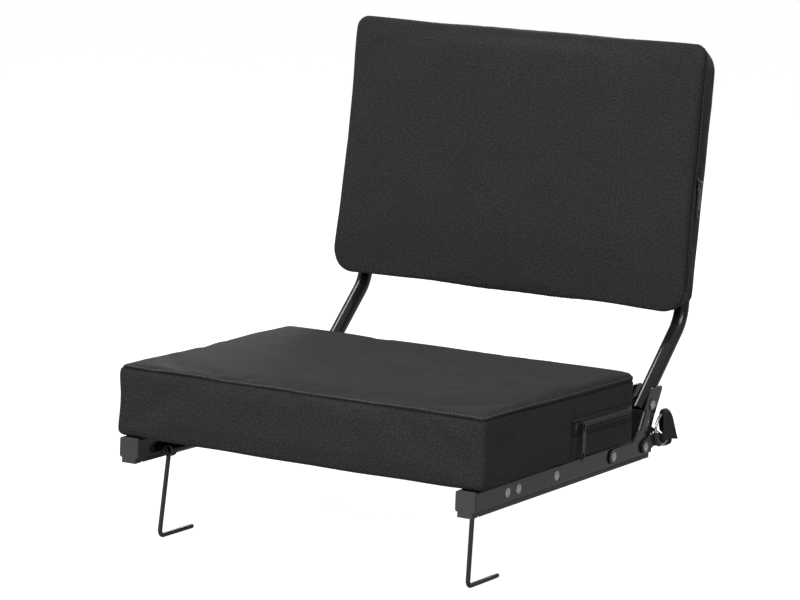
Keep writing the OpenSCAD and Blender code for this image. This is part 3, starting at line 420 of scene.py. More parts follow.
def swelling(pad, pressure, pinned, to_frame):
    """How far each point of the coarse pad moves, as one grid of movements for each of its grids."""
    grids, _, _, cells = pad.grids(False)
    points, _, where, corners = weld(grids)
    quads, _ = outward(points, where, corners)
    form = mesh_object("swelling", to_frame(points), quads)
    hold = form.vertex_groups.new(name="held")
    weights = np.round(pinned(points), 1)
    for weight in np.unique(weights[weights > 0]):
        hold.add(np.flatnonzero(weights == weight).tolist(), float(weight), "REPLACE")
    thread = form.vertex_groups.new(name="thread")
    for g, span in list(zip(grids, spans(grids)))[1:-2]:  # a seam is a strip's last row
        thread.add(np.unique(where[span][-g.shape[1]:]).tolist(), 1.0, "REPLACE")
    cloth = form.modifiers.new("cloth", "CLOTH").settings
    cloth.quality, cloth.mass = 6, 0.3
    cloth.tension_stiffness = cloth.compression_stiffness = 12
    cloth.shear_stiffness, cloth.bending_stiffness = 4, 0.4
    cloth.use_pressure, cloth.uniform_pressure_force = True, pressure
    cloth.effector_weights.gravity = 0
    cloth.vertex_group_mass, cloth.vertex_group_shrink = "held", "thread"
    cloth.shrink_min, cloth.shrink_max = 0.0, THREAD_SHRINK
    for step in range(1, SIM_FRAMES + 1):
        bpy.context.scene.frame_set(step)
    settled = form.evaluated_get(bpy.context.evaluated_depsgraph_get())
    found = np.empty(len(points) * 3, np.float32)
    settled.to_mesh().vertices.foreach_get("co", found)
    moved = points + from_frame(found.reshape(-1, 3) - to_frame(points), to_frame)
    settled.to_mesh_clear()
    bpy.data.objects.remove(form)
    bpy.context.scene.frame_set(1)
    movement = moved - points
    size = np.linalg.norm(movement, axis=1, keepdims=True)
    movement *= SWELL_LIMIT * np.tanh(size / SWELL_LIMIT) / np.maximum(size, 1e-9)
    print("swelling moved points by up to", round(float(size.max() / MM), 2), "mm, mean",
          round(float(size.mean() / MM), 2))
    return [movement[where[span]].reshape(g.shape) for g, span in zip(grids, spans(grids))], cells


def creases(points, marks):
    """Depth of creases at points. Each mark is a start, an end, a depth and a width: the depth fades as
    a bell curve away from the line, and to nothing at its ends."""
    total = np.zeros(len(points))
    for start, end, depth, width in marks:
        a, b = np.array(start, float), np.array(end, float)
        t = np.clip((points - a) @ (b - a) / ((b - a) @ (b - a)), 0, 1)
        away = np.linalg.norm(points - a - t[:, None] * (b - a), axis=1)
        total += depth * np.exp(-(away / width)**2) * np.sin(math.pi * (0.08 + 0.84 * t))
    return total


def shade_seams(piece, shade):
    """Writes a number from 0 to 1 on each vertex, which the cloth's material turns into a line of painted
    shade.
    """
    values = np.clip(shade, 0, 1).astype(np.float32)
    piece.data.attributes.new("seam", "FLOAT", "POINT").data.foreach_set("value", values)


def press_bed(points, bed):
    """Points pressed down to the plane of a zip or pocket: the bed is its start, its run and outward
    directions, its length and half its width. Whatever stands above the plane goes back to it, and
    the far side of the pad, more than a depth below the plane, is left alone."""
    at, run, out, length, half = bed
    end_soft, side_soft, depth = 14 * MM, 7 * MM, 12 * MM
    away = points - at
    run, out = np.array(run), np.array(out)
    share = (bump(away @ run, 0, length, end_soft)
             * bump(away @ np.cross(out, run), -half, half, side_soft) * (away @ out > -depth))
    return points - out * (np.maximum(away @ out, 0) * share)[:, None]


def below(value, ceiling, soft=0.8 * MM):
    """The smaller of two numbers with a soft corner:
    -soft x log(exp(-value / soft) + exp(-ceiling / soft))."""
    return -soft * np.logaddexp(-value / soft, -ceiling / soft)


def finish_pad(name, pad, to_frame, swell, groove, marks, ripple, press):
    """The fine pad: base form, swelling, seam grooves, creases and a slow ripple. groove holds, for each
    strip, the depth and width at its first and last row. Gives the object, its grids of points in the
    row frame and their normals, for sewing other things onto it."""
    grids, flats, places, cells = pad.grids(True)
    moves, coarse = swell
    shifts = []
    for k, g in enumerate(grids):
        rows = np.linspace(0, moves[k].shape[0] - 1, g.shape[0])
        if places[k] is not None:
            share = (places[k][:, 0] - places[k][0, 0]) / (places[k][-1, 0] - places[k][0, 0])
            rows = share * (moves[k].shape[0] - 1)
            columns = np.interp(np.arange(g.shape[1]), *side_steps(cells, coarse))
        else:
            columns = np.linspace(0, moves[k].shape[1] - 1, g.shape[1])
        shifts.append(resample(moves[k], rows, columns).reshape(-1, 3))
    points, first, where, corners = weld(grids)
    quads, corners = outward(points, where, corners)
    dips, shades = [], []
    for k, g in enumerate(grids):
        dip, shade = np.zeros(g.shape[:2]), np.zeros(g.shape[:2])
        if places[k] is not None:
            for s, (depth, width) in zip((places[k][0], places[k][-1]), groove[k - 1]):
                away = (places[k] - s) * pad.length
                dip += depth * np.exp(-(away / width)**2)
                # painted shade: a band along each seam, wider than its groove, which the cloth's colour
                # darkens
                shade += (depth > 0) * np.exp(-(away / (1.7 * width))**2)
        dips.append(dip.ravel())
        shades.append(shade.ravel())
    points = points + np.concatenate(shifts)[first]
    normals = vertex_normals(points, quads)
    x, y, z = points.T
    # two slow waves, 70 to 270 mm long, that don't repeat
    wave = (np.sin(x * 61 + 1.3 * np.sin(y * 37)) * np.sin(y * 53 + z * 90 + 1.1)
            + 0.6 * np.sin(x * 23 - y * 31 + 2.0)) * ripple
    fade = np.clip(1 - np.concatenate(dips)[first] / (0.3 * MM), 0, 1)
    depth = np.concatenate(dips)[first] + creases(points, marks) - wave * fade
    placed = to_frame(press(points - normals * depth[:, None]))
    flat = np.concatenate([f.reshape(-1, 2) for f in flats])
    piece = mesh_object(name, placed, quads, flat[corners])
    shade_seams(piece, np.concatenate(shades)[first])
    normals = vertex_normals(placed, quads)
    spots = [where[span].reshape(g.shape[:2]) for g, span in zip(grids, spans(grids))]
    print(name, len(quads), "quads")
    return piece, [(placed[at], normals[at]) for at in spots]


def side_steps(fine, coarse):
    """Matching column numbers of a fine and a coarse ring at the four corners."""
    return [np.cumsum([0, *cells, *cells]) for cells in (fine, coarse)]


print("pads swell with swelling() and are finished by finish_pad()")

# %% [markdown]
# ## The seat cushion
# A block of foam in a woven cover, 430 mm wide, stapled under its board. Its top panel meets the
# gusset in a seam that runs just under the top edge at the front and sinks a few millimetres towards
# the rear. The lower edge is rounded, where the cover turns in under the board.

# %% Seat cushion
seat_low, seat_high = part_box("seat_cover")
seat_size = np.array(seat_high - seat_low)
seat_middle = np.array([0.0, (seat_low.y + seat_high.y) / 2, seat_low.z])
SEAT_CORNER = 5 * MM
SEAT_PRESSURE = 0.22


def seat_place(points):
    """From the seat cushion's own coordinates to the row frame."""
    return points + seat_middle


hx, hy = seat_size[0] / 2 + 1.8 * MM, seat_size[1] / 2 + 1.4 * MM  # the cloth stands a little proud
seat_corners = [(-hx, -hy, SEAT_CORNER), (hx, -hy, SEAT_CORNER),
                (hx, hy, 2 * SEAT_CORNER), (-hx, hy, SEAT_CORNER)]
seat_profile = np.array([
    (14, 75.0), (9, 74.8), (4.6, 74.0), (1.6, 72.2), (0.3, 68.4), (0.1, 60), (0.8, 46), (0.9, 30),
    (0.3, 13), (0.4, 6.6), (1.6, 2.6), (4.8, 0.5), (9, 0.2), (15, 0.2)]) * MM
seam_round = np.array([  # the seam's way down the profile, round the pad from the front left corner
    13.6, 13.2, 13.0, 13.2, 13.6, 15.0, 17.0, 18.6, 19.4,
    19.6, 19.6, 19.4, 18.6, 17.0, 15.0, 14.0, 13.6]) * MM
seat_pad = Pad(seat_corners, seat_corners, 1.4 * MM, seat_profile, np.zeros_like, 1.2 * MM)
seat_pad.seams = [seam_round / seat_pad.length]


def seat_pinned(points):
    """The bottom is held, and the hold fades over the lowest 12 mm of the sides."""
    return np.clip(1 - points[:, 2] / (12 * MM), 0, 1)


def seat_press(points):
    """Room for the pocket in the side, and a flat top where the folded back comes to lie."""
    pocket_at = np.array([215.3, 21.0, 25.0]) * MM
    points = press_bed(points, (pocket_at, (0.0, 1.0, 0.0), (1.0, 0.0, 0.0), 139 * MM, 22 * MM))
    points[:, 2] = below(points[:, 2], 77.2 * MM + 0.1 * np.maximum(45 * MM - points[:, 1], 0))
    return points


seat_swell = swelling(seat_pad, SEAT_PRESSURE, seat_pinned, seat_place)
seat_creases = [  # start and end in the pad's own metres, depth, width
    ((-0.212, -0.150, 0.058), (-0.196, -0.162, 0.066), 1.5 * MM, 3.5 * MM),
    ((-0.214, -0.156, 0.044), (-0.180, -0.162, 0.050), 1.2 * MM, 4.0 * MM),
    ((-0.210, -0.160, 0.034), (-0.150, -0.162, 0.030), 0.8 * MM, 5.0 * MM),
    ((-0.200, -0.162, 0.014), (0.190, -0.162, 0.016), 0.7 * MM, 5.0 * MM),
    ((-0.176, -0.163, 0.001), (0.176, -0.163, 0.001), -2.0 * MM, 7.0 * MM),
    ((0.214, -0.140, 0.060), (0.214, -0.060, 0.056), 0.6 * MM, 5.0 * MM),
]
no_seam, seat_seam = (0, 1), (1.1 * MM, 0.9 * MM)  # a groove's depth and width
seat_cushion, seat_rows = finish_pad(
    "seat_cushion", seat_pad, seat_place, seat_swell,
    [(no_seam, seat_seam), (seat_seam, no_seam)], seat_creases, 0.25 * MM, seat_press)
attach(seat_cushion, "seat_base")
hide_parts("seat_cover", "seat_foam")

# %% [markdown]
# ## The back cushion
# The back pad is a bag that slips over the bent tube. Its face panel rolls over the edge into the
# gusset, and the seam lies just behind the edge, a little further back above. It leans with the tube,
# so it is worked out upright and then turned about the tube's knee.

# %% Back cushion
LEAN = math.radians(6.6)
KNEE = np.array([0, 210.49, 219.43]) * MM
BACK_PRESSURE = 0.32


def back_place(points):
    """From the back pad's own coordinates (x across, y up the pad, z forward) to the row frame."""
    x, up, forward = points.T
    y = -forward * math.cos(LEAN) + up * math.sin(LEAN)
    z = forward * math.sin(LEAN) + up * math.cos(LEAN)
    return np.stack([x, y, z], -1) + KNEE


back_low, back_top = 6.5 * MM, 300 * MM
wide, narrow = 222.0 * MM, 218.6 * MM
back_corners = [(-wide, back_low, 28 * MM), (wide, back_low, 28 * MM),
                (narrow, back_top, 13 * MM), (-narrow, back_top, 13 * MM)]
rear_corners = [(-207 * MM, 17 * MM, 12 * MM), (207 * MM, 17 * MM, 12 * MM),
                (208 * MM, 291 * MM, 24 * MM), (-208 * MM, 291 * MM, 24 * MM)]
back_profile = np.array([
    (17, 43.4), (10, 43.1), (4.6, 42.2), (1.5, 40.0), (0.3, 36), (0.1, 28), (0.4, 18), (0.3, 8),
    (0.1, -1), (0.8, -5.4), (3.4, -8.4), (8, -9.2), (15, -9.3)]) * MM


def back_share(depth):
    """How far a depth lies from the face's outline (0) to the rear's (1)."""
    return np.clip((42 * MM - depth) / (50 * MM), 0, 1)**0.8


ZIP_TILT, ZIP_TAPER = np.radians([7.50, -1.04])  # the side leans inwards to the rear and to the top
ZIP_START = np.array([212.7, 157.0, 27.0]) * MM
ZIP_OUT = (math.cos(ZIP_TILT) * math.cos(ZIP_TAPER), -math.cos(ZIP_TILT) * math.sin(ZIP_TAPER),
           -math.sin(ZIP_TILT))
ZIP_RUN = (-math.sin(ZIP_TAPER), -math.cos(ZIP_TAPER), 0.0)

back_seam = np.array([  # the seam's way down the profile, round the pad from the lower left corner
    21, 20, 20, 20, 20, 20.5, 21.2, 22, 22.6, 22.4, 22.4, 22.4, 22.6, 22, 21.2, 20.5, 21]) * MM
back_pad = Pad(back_corners, rear_corners, 1.2 * MM, back_profile, back_share, 2.4 * MM)
back_pad.seams = [back_seam / back_pad.length, 1 - 15.5 * MM / back_pad.length]


def back_pinned(points):
    """The rear panel is held against the tube, and the hold fades over 10 mm."""
    return np.clip((2 * MM - points[:, 2]) / (10 * MM), 0, 1)


def back_press(points):
    """Room for the zip in the side, and a face that lies flat on the seat when the back is folded: the
    back turns by a right angle, so its face is lower near the tube by the tangent of its lean."""
    bed_start = ZIP_START - 4 * MM * np.array(ZIP_RUN)
    points = press_bed(points, (bed_start, ZIP_RUN, ZIP_OUT, 132 * MM, 5 * MM))
    points[:, 2] = below(points[:, 2], 40.0 * MM + math.tan(LEAN) * points[:, 1])
    return points


back_swell = swelling(back_pad, BACK_PRESSURE, back_pinned, back_place)
back_creases = [  # start and end in the pad's own metres, depth, width
    ((0.186, 0.262, 0.044), (0.206, 0.258, 0.040), 1.4 * MM, 3.0 * MM),
    ((0.190, 0.238, 0.044), (0.208, 0.236, 0.040), 0.9 * MM, 3.0 * MM),
    ((-0.210, 0.290, 0.047), (0.210, 0.290, 0.047), 3.4 * MM, 9.0 * MM),
    ((-0.150, 0.018, 0.043), (0.150, 0.016, 0.043), 1.2 * MM, 7.0 * MM),
    ((-0.180, 0.028, 0.044), (-0.090, 0.022, 0.044), 0.8 * MM, 5.0 * MM),
]
face_seam, rear_seam = (1.2 * MM, 0.9 * MM), (0.9 * MM, 0.9 * MM)
back_cushion, back_rows = finish_pad(
    "back_cushion", back_pad, back_place, back_swell,
    [(no_seam, face_seam), (face_seam, rear_seam), (rear_seam, no_seam)], back_creases, 0.3 * MM,
    back_press)
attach(back_cushion, "back")
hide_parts("back_cover", "back_foam")

# %% [markdown]
# ## Stitches
# A topstitch shows as a row of short raised threads a little above a seam. Each stitch is a slim
# capsule: a circle carried along a few millimetres, whose radius falls to nothing at both ends. All the
# stitches of a row are worked out in one array, so each costs only a few dozen faces.

# %% Rows of stitches
def stitch_row(path, up, length=3.0 * MM, gap=1.1 * MM, radius=0.36 * MM, lift=0.15 * MM):
    """Grids of stitches along a path, where up is the cloth's normal at each of its points.
    Point = centre of the thread + radius(t) x (cos a x sideways + sin a x up)."""
    s = lengths(path)
    count = int(s[-1] / (length + gap))
    t, angle = np.linspace(0, 1, 5), np.linspace(0, 2 * math.pi, 7)
    at = (np.arange(count)[:, None] + 0.1) * (s[-1] / count) + t * length
    centre = np.stack([np.interp(at, s, path[:, k]) for k in range(3)], -1)
    normal = np.stack([np.interp(at, s, up[:, k]) for k in range(3)], -1)
    normal /= np.linalg.norm(normal, axis=-1, keepdims=True)
    run = centre[:, -1:] - centre[:, :1]
    side = np.cross(run / np.linalg.norm(run, axis=-1, keepdims=True), normal)
    thick = radius * np.sqrt(np.clip(1 - (2 * t - 1)**4, 0, 1))
    middle = centre + normal * (lift * (1 - (2 * t - 1)**2))[:, None]
    ring = (np.cos(angle)[:, None] * side[:, :, None] + np.sin(angle)[:, None] * normal[:, :, None])
    points = middle[:, :, None] + thick[:, None, None] * ring
    points[:, :, -1] = points[:, :, 0]
    points[:, 0], points[:, -1] = middle[:, :1], middle[:, -1:]
    return list(points)


def sew(name, rows, body):
    """One piece from several rows of stitches, riding a body."""
    piece = piece_from(name, [g for row in rows for g in row])
    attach(piece, body)
    print(name, sum(len(r) for r in rows), "stitches")
    return piece


above, under = -6, 5  # rows of the grids that lie 3.6 mm beside a seam
seat_stitches = sew("seat_topstitch", [stitch_row(*(a[above] for a in seat_rows[1]))], "seat_base")
back_stitches = sew("back_topstitch", [stitch_row(*(a[under] for a in back_rows[2]))], "back")

# %% [markdown]
# ## Thin things: slabs
# A zip's tape, a pocket or a cloth hem is a thin sheet with two faces and four edges. It is given as
# its upper face; the lower face is the same grid moved inwards, and four narrow strips close the edges.

# %% Slabs
def slab(top, bottom):
    """The six grids of a closed slab between two grids of the same shape."""
    return [top, bottom[:, ::-1],
            np.stack([top[-1], bottom[-1]]), np.stack([top[0, ::-1], bottom[0, ::-1]]),
            np.stack([top[::-1, -1], bottom[::-1, -1]]), np.stack([top[:, 0], bottom[:, 0]])]


def slab_piece(name, top, bottom, flat, body, slot_name, *nodes):
    """A closed slab as a piece; flat holds the cloth coordinates of its upper face."""
    piece = piece_from(name, slab(top, bottom), slab(flat, flat))
    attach(piece, body)
    if nodes:
        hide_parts(*nodes)
    print(name, len(piece.data.polygons), "faces")
    return piece


def on_side(points, normals, key, values):
    """Points and normals of a cushion's side where key (one number for each point) takes the given
    values, column by column: values has one row for each height and one column for each column."""
    found = np.empty((2, *values.shape, 3))
    for c in range(points.shape[1]):
        order = np.argsort(key[:, c])
        for which, field in enumerate((points, normals)):
            for k in range(3):
                found[which, :, c, k] = np.interp(values[:, c], key[order, c], field[order, c, k])
    found[1] /= np.linalg.norm(found[1], axis=-1, keepdims=True)
    return found


print("slab() closes a thin sheet")

# %% [markdown]
# ## The pocket in the seat's side
# A piece of cloth is sewn on the right side of the seat cushion, with a zip along its top. The cloth
# follows the cushion's own surface, and its lips, fold and stitch line are a height above that surface,
# given as a sum of soft steps.

# %% Pocket cloth
LINE_TILT = 0.022  # how much the pocket's lines fall for each metre to the rear
POCKET_ENDS = -0.0668, 0.0716  # along y, in the row frame
POCKET_HEIGHTS = 0.1085, 0.1528
LIPS_END = 0.060  # the lips stop this far back


def side_patch(rows, pad, strip):
    """Points and normals on the right side of a pad's strip."""
    n, m = pad.cells(FINE)
    return [a[:, n:n + m + 1] for a in rows[strip]]


def closer(grids, rows, columns):
    """The same grids with their columns resampled to a given number."""
    every, fine = np.arange(rows, dtype=float), np.linspace(0, grids[0].shape[1] - 1, columns)
    return [resample(g, every, fine) for g in grids]


zip_low, zip_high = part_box("pocket_zip")
zip_z = (zip_low.z + zip_high.z) / 2
side_points, side_normals = side_patch(seat_rows, seat_pad, 2)
columns_y = side_points[-12, :, 1]  # read low on the side, where the columns are upright
inside = np.flatnonzero((columns_y > -0.068) & (columns_y < 0.0735))
side_points, side_normals = side_points[:, inside], side_normals[:, inside]
levels = np.concatenate([np.arange(109.6, 132, 1.6), np.arange(132, 153.2, 0.35)]) * MM  # close at the lips
pocket_base, pocket_normal = on_side(side_points, side_normals, side_points[..., 2],
                                     np.repeat(levels[:, None], len(inside), 1))
pocket_base, pocket_normal = closer((pocket_base, pocket_normal), len(levels), 150)
py, pz = pocket_base[..., 1], pocket_base[..., 2]
turned = bump(py, -1, LIPS_END, 0.012)
plane = np.clip(zip_low.x - 0.3 * MM - pocket_base[..., 0], 0, 4 * MM) * turned


def above_zip(y, z):
    """Height above the middle of the zip's slot, in mm. The slot falls a little to the rear."""
    return (z - zip_z + LINE_TILT * y) / MM


LIPS = [(0.9, 3.2, 7.0, 1.2), (1.0, -7.4, -3.4, 1.2), (-0.5, -3.0, 2.8, 0.8),
        (-0.45, -11.4, -10.6, 0.8), (0.3, -10.2, -8.0, 1.0)]  # rise, from, to, softness, all in mm
lips = sum(rise * bump(above_zip(py, pz), *edges) for rise, *edges in LIPS)
edge = bump(pz, *POCKET_HEIGHTS, 0.0012) * bump(py, *POCKET_ENDS, 0.0016)
height = (0.9 * MM + plane * bump(pz, 0.124, 0.160, 0.020) + lips * MM * turned) * edge - 0.5 * MM
pocket_top = pocket_base + pocket_normal * height[..., None]
pocket_cloth = slab_piece("pocket_cloth", pocket_top, pocket_base - pocket_normal * 1.2 * MM,
                          np.stack([py, pz], -1) + [11, 0], "seat_base", "cover_cloth", "pocket_panel")
at = np.empty(len(pocket_cloth.data.vertices) * 3, np.float32)
pocket_cloth.data.vertices.foreach_get("co", at)
x, y, z = at.reshape(-1, 3).T
# painted shade: dark lines in the grooves beside the pocket's lips and along its sewn front edge
groove_shade = sum(np.exp(-((above_zip(y, z) - line) / 0.75)**2) for line in (7.6, 2.9, -3.2, -7.7, -11.0))
groove_shade = groove_shade + np.exp(-((y + 0.0662) / (0.9 * MM))**2)
shade_seams(pocket_cloth, groove_shade * bump(y, -0.070, 0.0716, 0.0016))

# %% [markdown]
# ## Zips
# The zips are nylon coils: two springs of plastic, sewn along the edges of two woven tapes, whose turns
# mesh in the middle. From outside they read as two rows of slanted ridges in a herringbone, so the
# chain is one surface whose height is a rounded bar crossed by a slanted wave.

# %% Zip chains
def zip_chain(name, start, run, out, length, body, node):
    """The meshed coils and their tapes, from start along run, facing out.
    Height = a low dome across + a wave along that slants away from the middle line."""
    tape, coil, coil_half, pitch = np.array([0.25, 1.25, 2.7, 1.3]) * MM
    side = np.cross(out, run)
    s = np.linspace(0, length, int(length / (0.16 * MM)) + 1)[:, None]
    w = np.linspace(-4.4, 4.4, 31)[None] * MM
    dome = coil * np.sqrt(np.clip(1 - (w / coil_half)**2, 0, 1))
    wave = np.abs(np.sin(math.pi * (s + 0.45 * np.abs(w)) / pitch + (w > 0) * math.pi / 2))**0.8
    groove = tape * np.exp(-(w / (0.35 * MM))**2)
    height = tape + dome * (0.78 + 0.22 * wave) - groove * (dome > 0)
    plane = start + s[..., None] * run + w[..., None] * side
    top, low = plane + height[..., None] * out, plane - tape * np.array(out)
    flat = np.stack([s + 0 * w, w + 0 * s], -1)
    return slab_piece(name, top, low, flat, body, "zip_tape", node)


def back_own(points):
    """From the row frame to the back pad's own coordinates (x, up, forward)."""
    d = points - KNEE
    return np.stack([d[..., 0], d[..., 1] * math.sin(LEAN) + d[..., 2] * math.cos(LEAN),
                     d[..., 2] * math.sin(LEAN) - d[..., 1] * math.cos(LEAN)], -1)


pocket_chain = zip_chain("pocket_zip_chain", np.array([zip_low.x, zip_low.y, zip_z]),
                         np.array([0, 1.0, 0]), np.array([1.0, 0, 0]), zip_high.y - zip_low.y,
                         "seat_base", "pocket_zip")
zip_start = back_place(ZIP_START)
zip_run, zip_out = (back_place(np.array(way)) - KNEE for way in (ZIP_RUN, ZIP_OUT))
back_chain = zip_chain("back_zip_chain", zip_start, zip_run, zip_out, 122 * MM, "back", "back_zip")

# %% [markdown]
# ## The flap over the back's zip
# A folded strip of the cover hides the zip's front half. It starts at the seam, lies on the gusset and
# ends in a soft fold beside the coils, so that the slider can pass.

# %% Zip flap
gusset, gusset_normal = side_patch(back_rows, back_pad, 2)
FLAP_ENDS = 0.033, 0.1565  # up the pad
ups = back_own(gusset)[3, :, 1]
inside = np.flatnonzero((ups > 0.030) & (ups < 0.158))
gusset, gusset_normal = gusset[:, inside], gusset_normal[:, inside]
share = np.linspace(0, 1, 25)[:, None]  # of the way from the flap's sewn edge to its fold
open_by = bump(ups[inside], 0.136, 0.5, 0.018)  # the fold draws back above, where the slider stands
sewn_at, fold_at = 37.5 * MM, (32.0 + 1.3 * open_by) * MM
places = sewn_at + (fold_at - sewn_at) * share
flap_base, flap_normal = on_side(gusset, gusset_normal, back_own(gusset)[..., 2], places)
flap_base, flap_normal = closer((flap_base, flap_normal), len(share), 110)
ends = bump(back_own(flap_base)[..., 1], *FLAP_ENDS, 0.002)
rise = 0.2 + 2.9 * np.clip(share / 0.85, 0, 1)**1.4
lift = rise * np.sqrt(np.clip(1 - np.clip((share - 0.86) / 0.14, 0, 1)**2, 0.05, 1))
flap_top = flap_base + flap_normal * (lift * MM * ends - 0.3 * MM)[..., None]
flap_flat = back_own(flap_base)[..., [2, 1]] + [17, 0]
zip_flap = slab_piece("zip_flap", flap_top, flap_base - flap_normal * 0.8 * MM, flap_flat,
                      "back", "cover_cloth")

# %% [markdown]
# ## The carry strap
# The webbing folds over the wire of each ring and hangs outside it, and its other layer runs behind
# the seat to the other ring. A band is easiest to give by its two edges: stations hold an upper and a
# lower edge point, smooth curves run through them, and the cloth is drawn between. Over the wire the
# cloth bulges, because the wire is round in plan.

# %% Carry strap
STRAP_WIDE, STRAP_HALF = 28 * MM, 0.9 * MM  # width, and half the thickness
ring_low, ring_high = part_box("right_strap_ring")
ring_x = (ring_low.x + ring_high.x) / 2 / MM
stations = np.array([  # x, upper edge (y, z), lower edge (y, z) from the seat's mark, bulge, all in mm
    (ring_x + 3.6, 386.4, -8.0, 423.0, -11.5, 1.5), (ring_x + 3.7, 386.4, -3.0, 420.5, -7.5, 2.4),
    (ring_x + 3.4, 386.6, 8.0, 416.0, 0.5, 3.8), (ring_x + 2.9, 387.0, 18.0, 413.0, 6.0, 5.2),
    (ring_x + 2.2, 387.4, 22.4, 412.2, 8.2, 6.0), (ring_x, 388.0, 24.4, 411.6, 9.4, 6.6),
    (ring_x - 2.2, 387.4, 22.4, 412.2, 8.2, 6.0), (ring_x - 2.8, 387.4, 14.0, 413.6, 3.0, 4.8),
    (ring_x - 2.9, 390.0, 4.0, 417.0, -5.0, 3.2), (ring_x - 3.4, 398.5, -2.0, 423.0, -13.0, 1.5),
    (ring_x - 8.0, 404.0, -4.0, 428.0, -19.0, 0.5), (ring_x - 20.0, 414.0, -2.0, 431.0, -23.5, 0.2),
    (ring_x - 42.0, 425.0, 1.0, 434.0, -25.0, 0), (ring_x - 80.0, 431.0, 2.4, 436.0, -25.2, 0),
    (ring_x - 140.0, 434.0, 2.6, 437.0, -25.2, 0), (0, 435.0, 2.8, 437.2, -25.0, 0)])
mirrored = stations[-2::-1] * [-1, 1, 1, 1, 1, 1]
stations = np.vstack([stations, mirrored])
knots = smooth_curve(stations, 420)
mark = seat_mark / MM
upper, lower = ((knots[:, [0, k, k + 1]] + [0, mark[1], mark[2]]) * MM for k in (1, 3))
v = np.linspace(0, 1, 19)[None, :, None]  # across the band, from its upper to its lower edge
middle = upper[:, None] * (1 - v) + lower[:, None] * v
bulge_way = np.array([0, 0.5, 0.866])
middle = middle + (knots[:, 5] * MM)[:, None, None] * 4 * v * (1 - v) * bulge_way
face_way = np.cross(np.gradient(middle, axis=0), np.gradient(middle, axis=1))
face_way /= np.maximum(np.linalg.norm(face_way, axis=-1, keepdims=True), 1e-9)
half_thick = STRAP_HALF * np.sqrt(np.clip(1 - (2 * v - 1)**12, 0.04, 1))
far = lengths(middle[:, 9])
strap_flat = np.stack([np.broadcast_to(far[:, None], middle.shape[:2]),
                       np.broadcast_to(v[..., 0] * STRAP_WIDE, middle.shape[:2])], -1)
strap = slab_piece("webbing_strap", middle + face_way * half_thick, middle - face_way * half_thick,
                   strap_flat, "strap", "webbing", "carry_strap")
print("strap is", round(float(far[-1]), 3), "m long")

# %% [markdown]
# ## The dust cloth
# Under the seat board a thin felted cloth closes the cover. It is stapled at its edge and sags a
# little between the bars.

# %% Dust cloth
cloth_low, cloth_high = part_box("base_cloth")
cw, cd = (cloth_high.x - cloth_low.x) / 2, (cloth_high.y - cloth_low.y) / 2
cloth_mid = np.array([0, (cloth_low.y + cloth_high.y) / 2, cloth_low.z])
ring = soft_ring([(-cw, -cd, 11 * MM), (cw, -cd, 11 * MM), (cw, cd, 11 * MM), (-cw, cd, 11 * MM)],
                 0.6 * MM, (70, 56))
dust_flat = coons(ring, (70, 56))
cx, cy = dust_flat[..., 0], dust_flat[..., 1]
rim = np.clip((1 - (cx / cw)**2) * (1 - (cy / cd)**2), 0, 1)
sag = 0.35 * MM * np.sin(cx * 47 + 1) * np.sin(cy * 61) * rim
dust_under = np.stack([cx, cy, sag], -1) + cloth_mid + [0, 0, 0.35 * MM]
dust_cloth = slab_piece("dust_cloth", dust_under + [0, 0, 0.7 * MM], dust_under, dust_flat,
                        "seat_base", "base_cloth", "base_cloth")

# %% [markdown]
# ## Building materials with a few short calls
# Materials are trees of nodes. A small helper keeps them readable: one call adds a node, links what
# is a socket and sets what is a number.

# %% Node helper
class Net:
    """Adds nodes to one tree. Inputs are given by name or number, and most calls give an output."""

    def __init__(self, tree):
        self.tree = tree

    def feed(self, node, inputs):
        for key, value in inputs.items():
            if isinstance(value, bpy.types.NodeSocket):
                self.tree.links.new(value, node.inputs[key])
            else:
                node.inputs[key].default_value = value
        return node

    def node(self, kind, inputs=None, **settings):
        made = self.tree.nodes.new("ShaderNode" + kind)
        for name, value in settings.items():
            setattr(made, name, value)
        return self.feed(made, inputs or {})

    def math(self, operation, *values):
        return self.node("Math", dict(enumerate(values)), operation=operation).outputs[0]

    def times(self, a, b):
        return self.math("MULTIPLY", a, b)

    def vector(self, operation, *values):
        return self.node("VectorMath", dict(enumerate(values)), operation=operation).outputs[0]

    def noise(self, place, scale, detail=2.0):
        return self.node("TexNoise", {"Vector": place, "Scale": scale, "Detail": detail}).outputs[0]

    def span(self, value, low, high, start=0.0, end=1.0):
        return self.node("MapRange", {0: value, 1: low, 2: high, 3: start, 4: end}).outputs[0]

    def mix(self, share, a, b):
        return self.node("Mix", {0: share, 6: a, 7: b}, data_type="RGBA").outputs[2]

    def streaks(self, place, scales, detail):
        return self.noise(self.vector("MULTIPLY", place, scales), 1.0, detail)

    def froth(self, place, scale, **settings):
        return self.node("TexVoronoi", {"Vector": place, "Scale": scale}, **settings).outputs["Distance"]

    def upward(self, vector):
        return self.node("SeparateXYZ", {0: vector}).outputs[2]

    def group(self, tree, **inputs):
        return self.node("Group", inputs, node_tree=tree).outputs

    def bump(self, height, distance, strength, **normal):
        return self.node("Bump", {"Height": height, "Distance": distance, "Strength": strength,
                                  **normal}).outputs[0]


def effect(name, inputs, outputs):
    """A node group with named sockets: gives a Net inside it, its given inputs, a function that takes
    its results by name, and the group."""
    tree = bpy.data.node_groups.new(name, "ShaderNodeTree")
    tree.interface.new_socket("Vector", in_out="INPUT", socket_type="NodeSocketVector")
    for label, value in inputs.items():
        socket = tree.interface.new_socket(label, in_out="INPUT", socket_type="NodeSocketFloat")
        socket.default_value = value
    for label in outputs:
        kind = "NodeSocketVector" if label == "Normal" else "NodeSocketFloat"
        tree.interface.new_socket(label, in_out="OUTPUT", socket_type=kind)
    net, last = Net(tree), tree.nodes.new("NodeGroupOutput")
    return net, tree.nodes.new("NodeGroupInput").outputs, lambda **made: net.feed(last, made), tree


print("Net() builds node trees, effect() builds node groups")

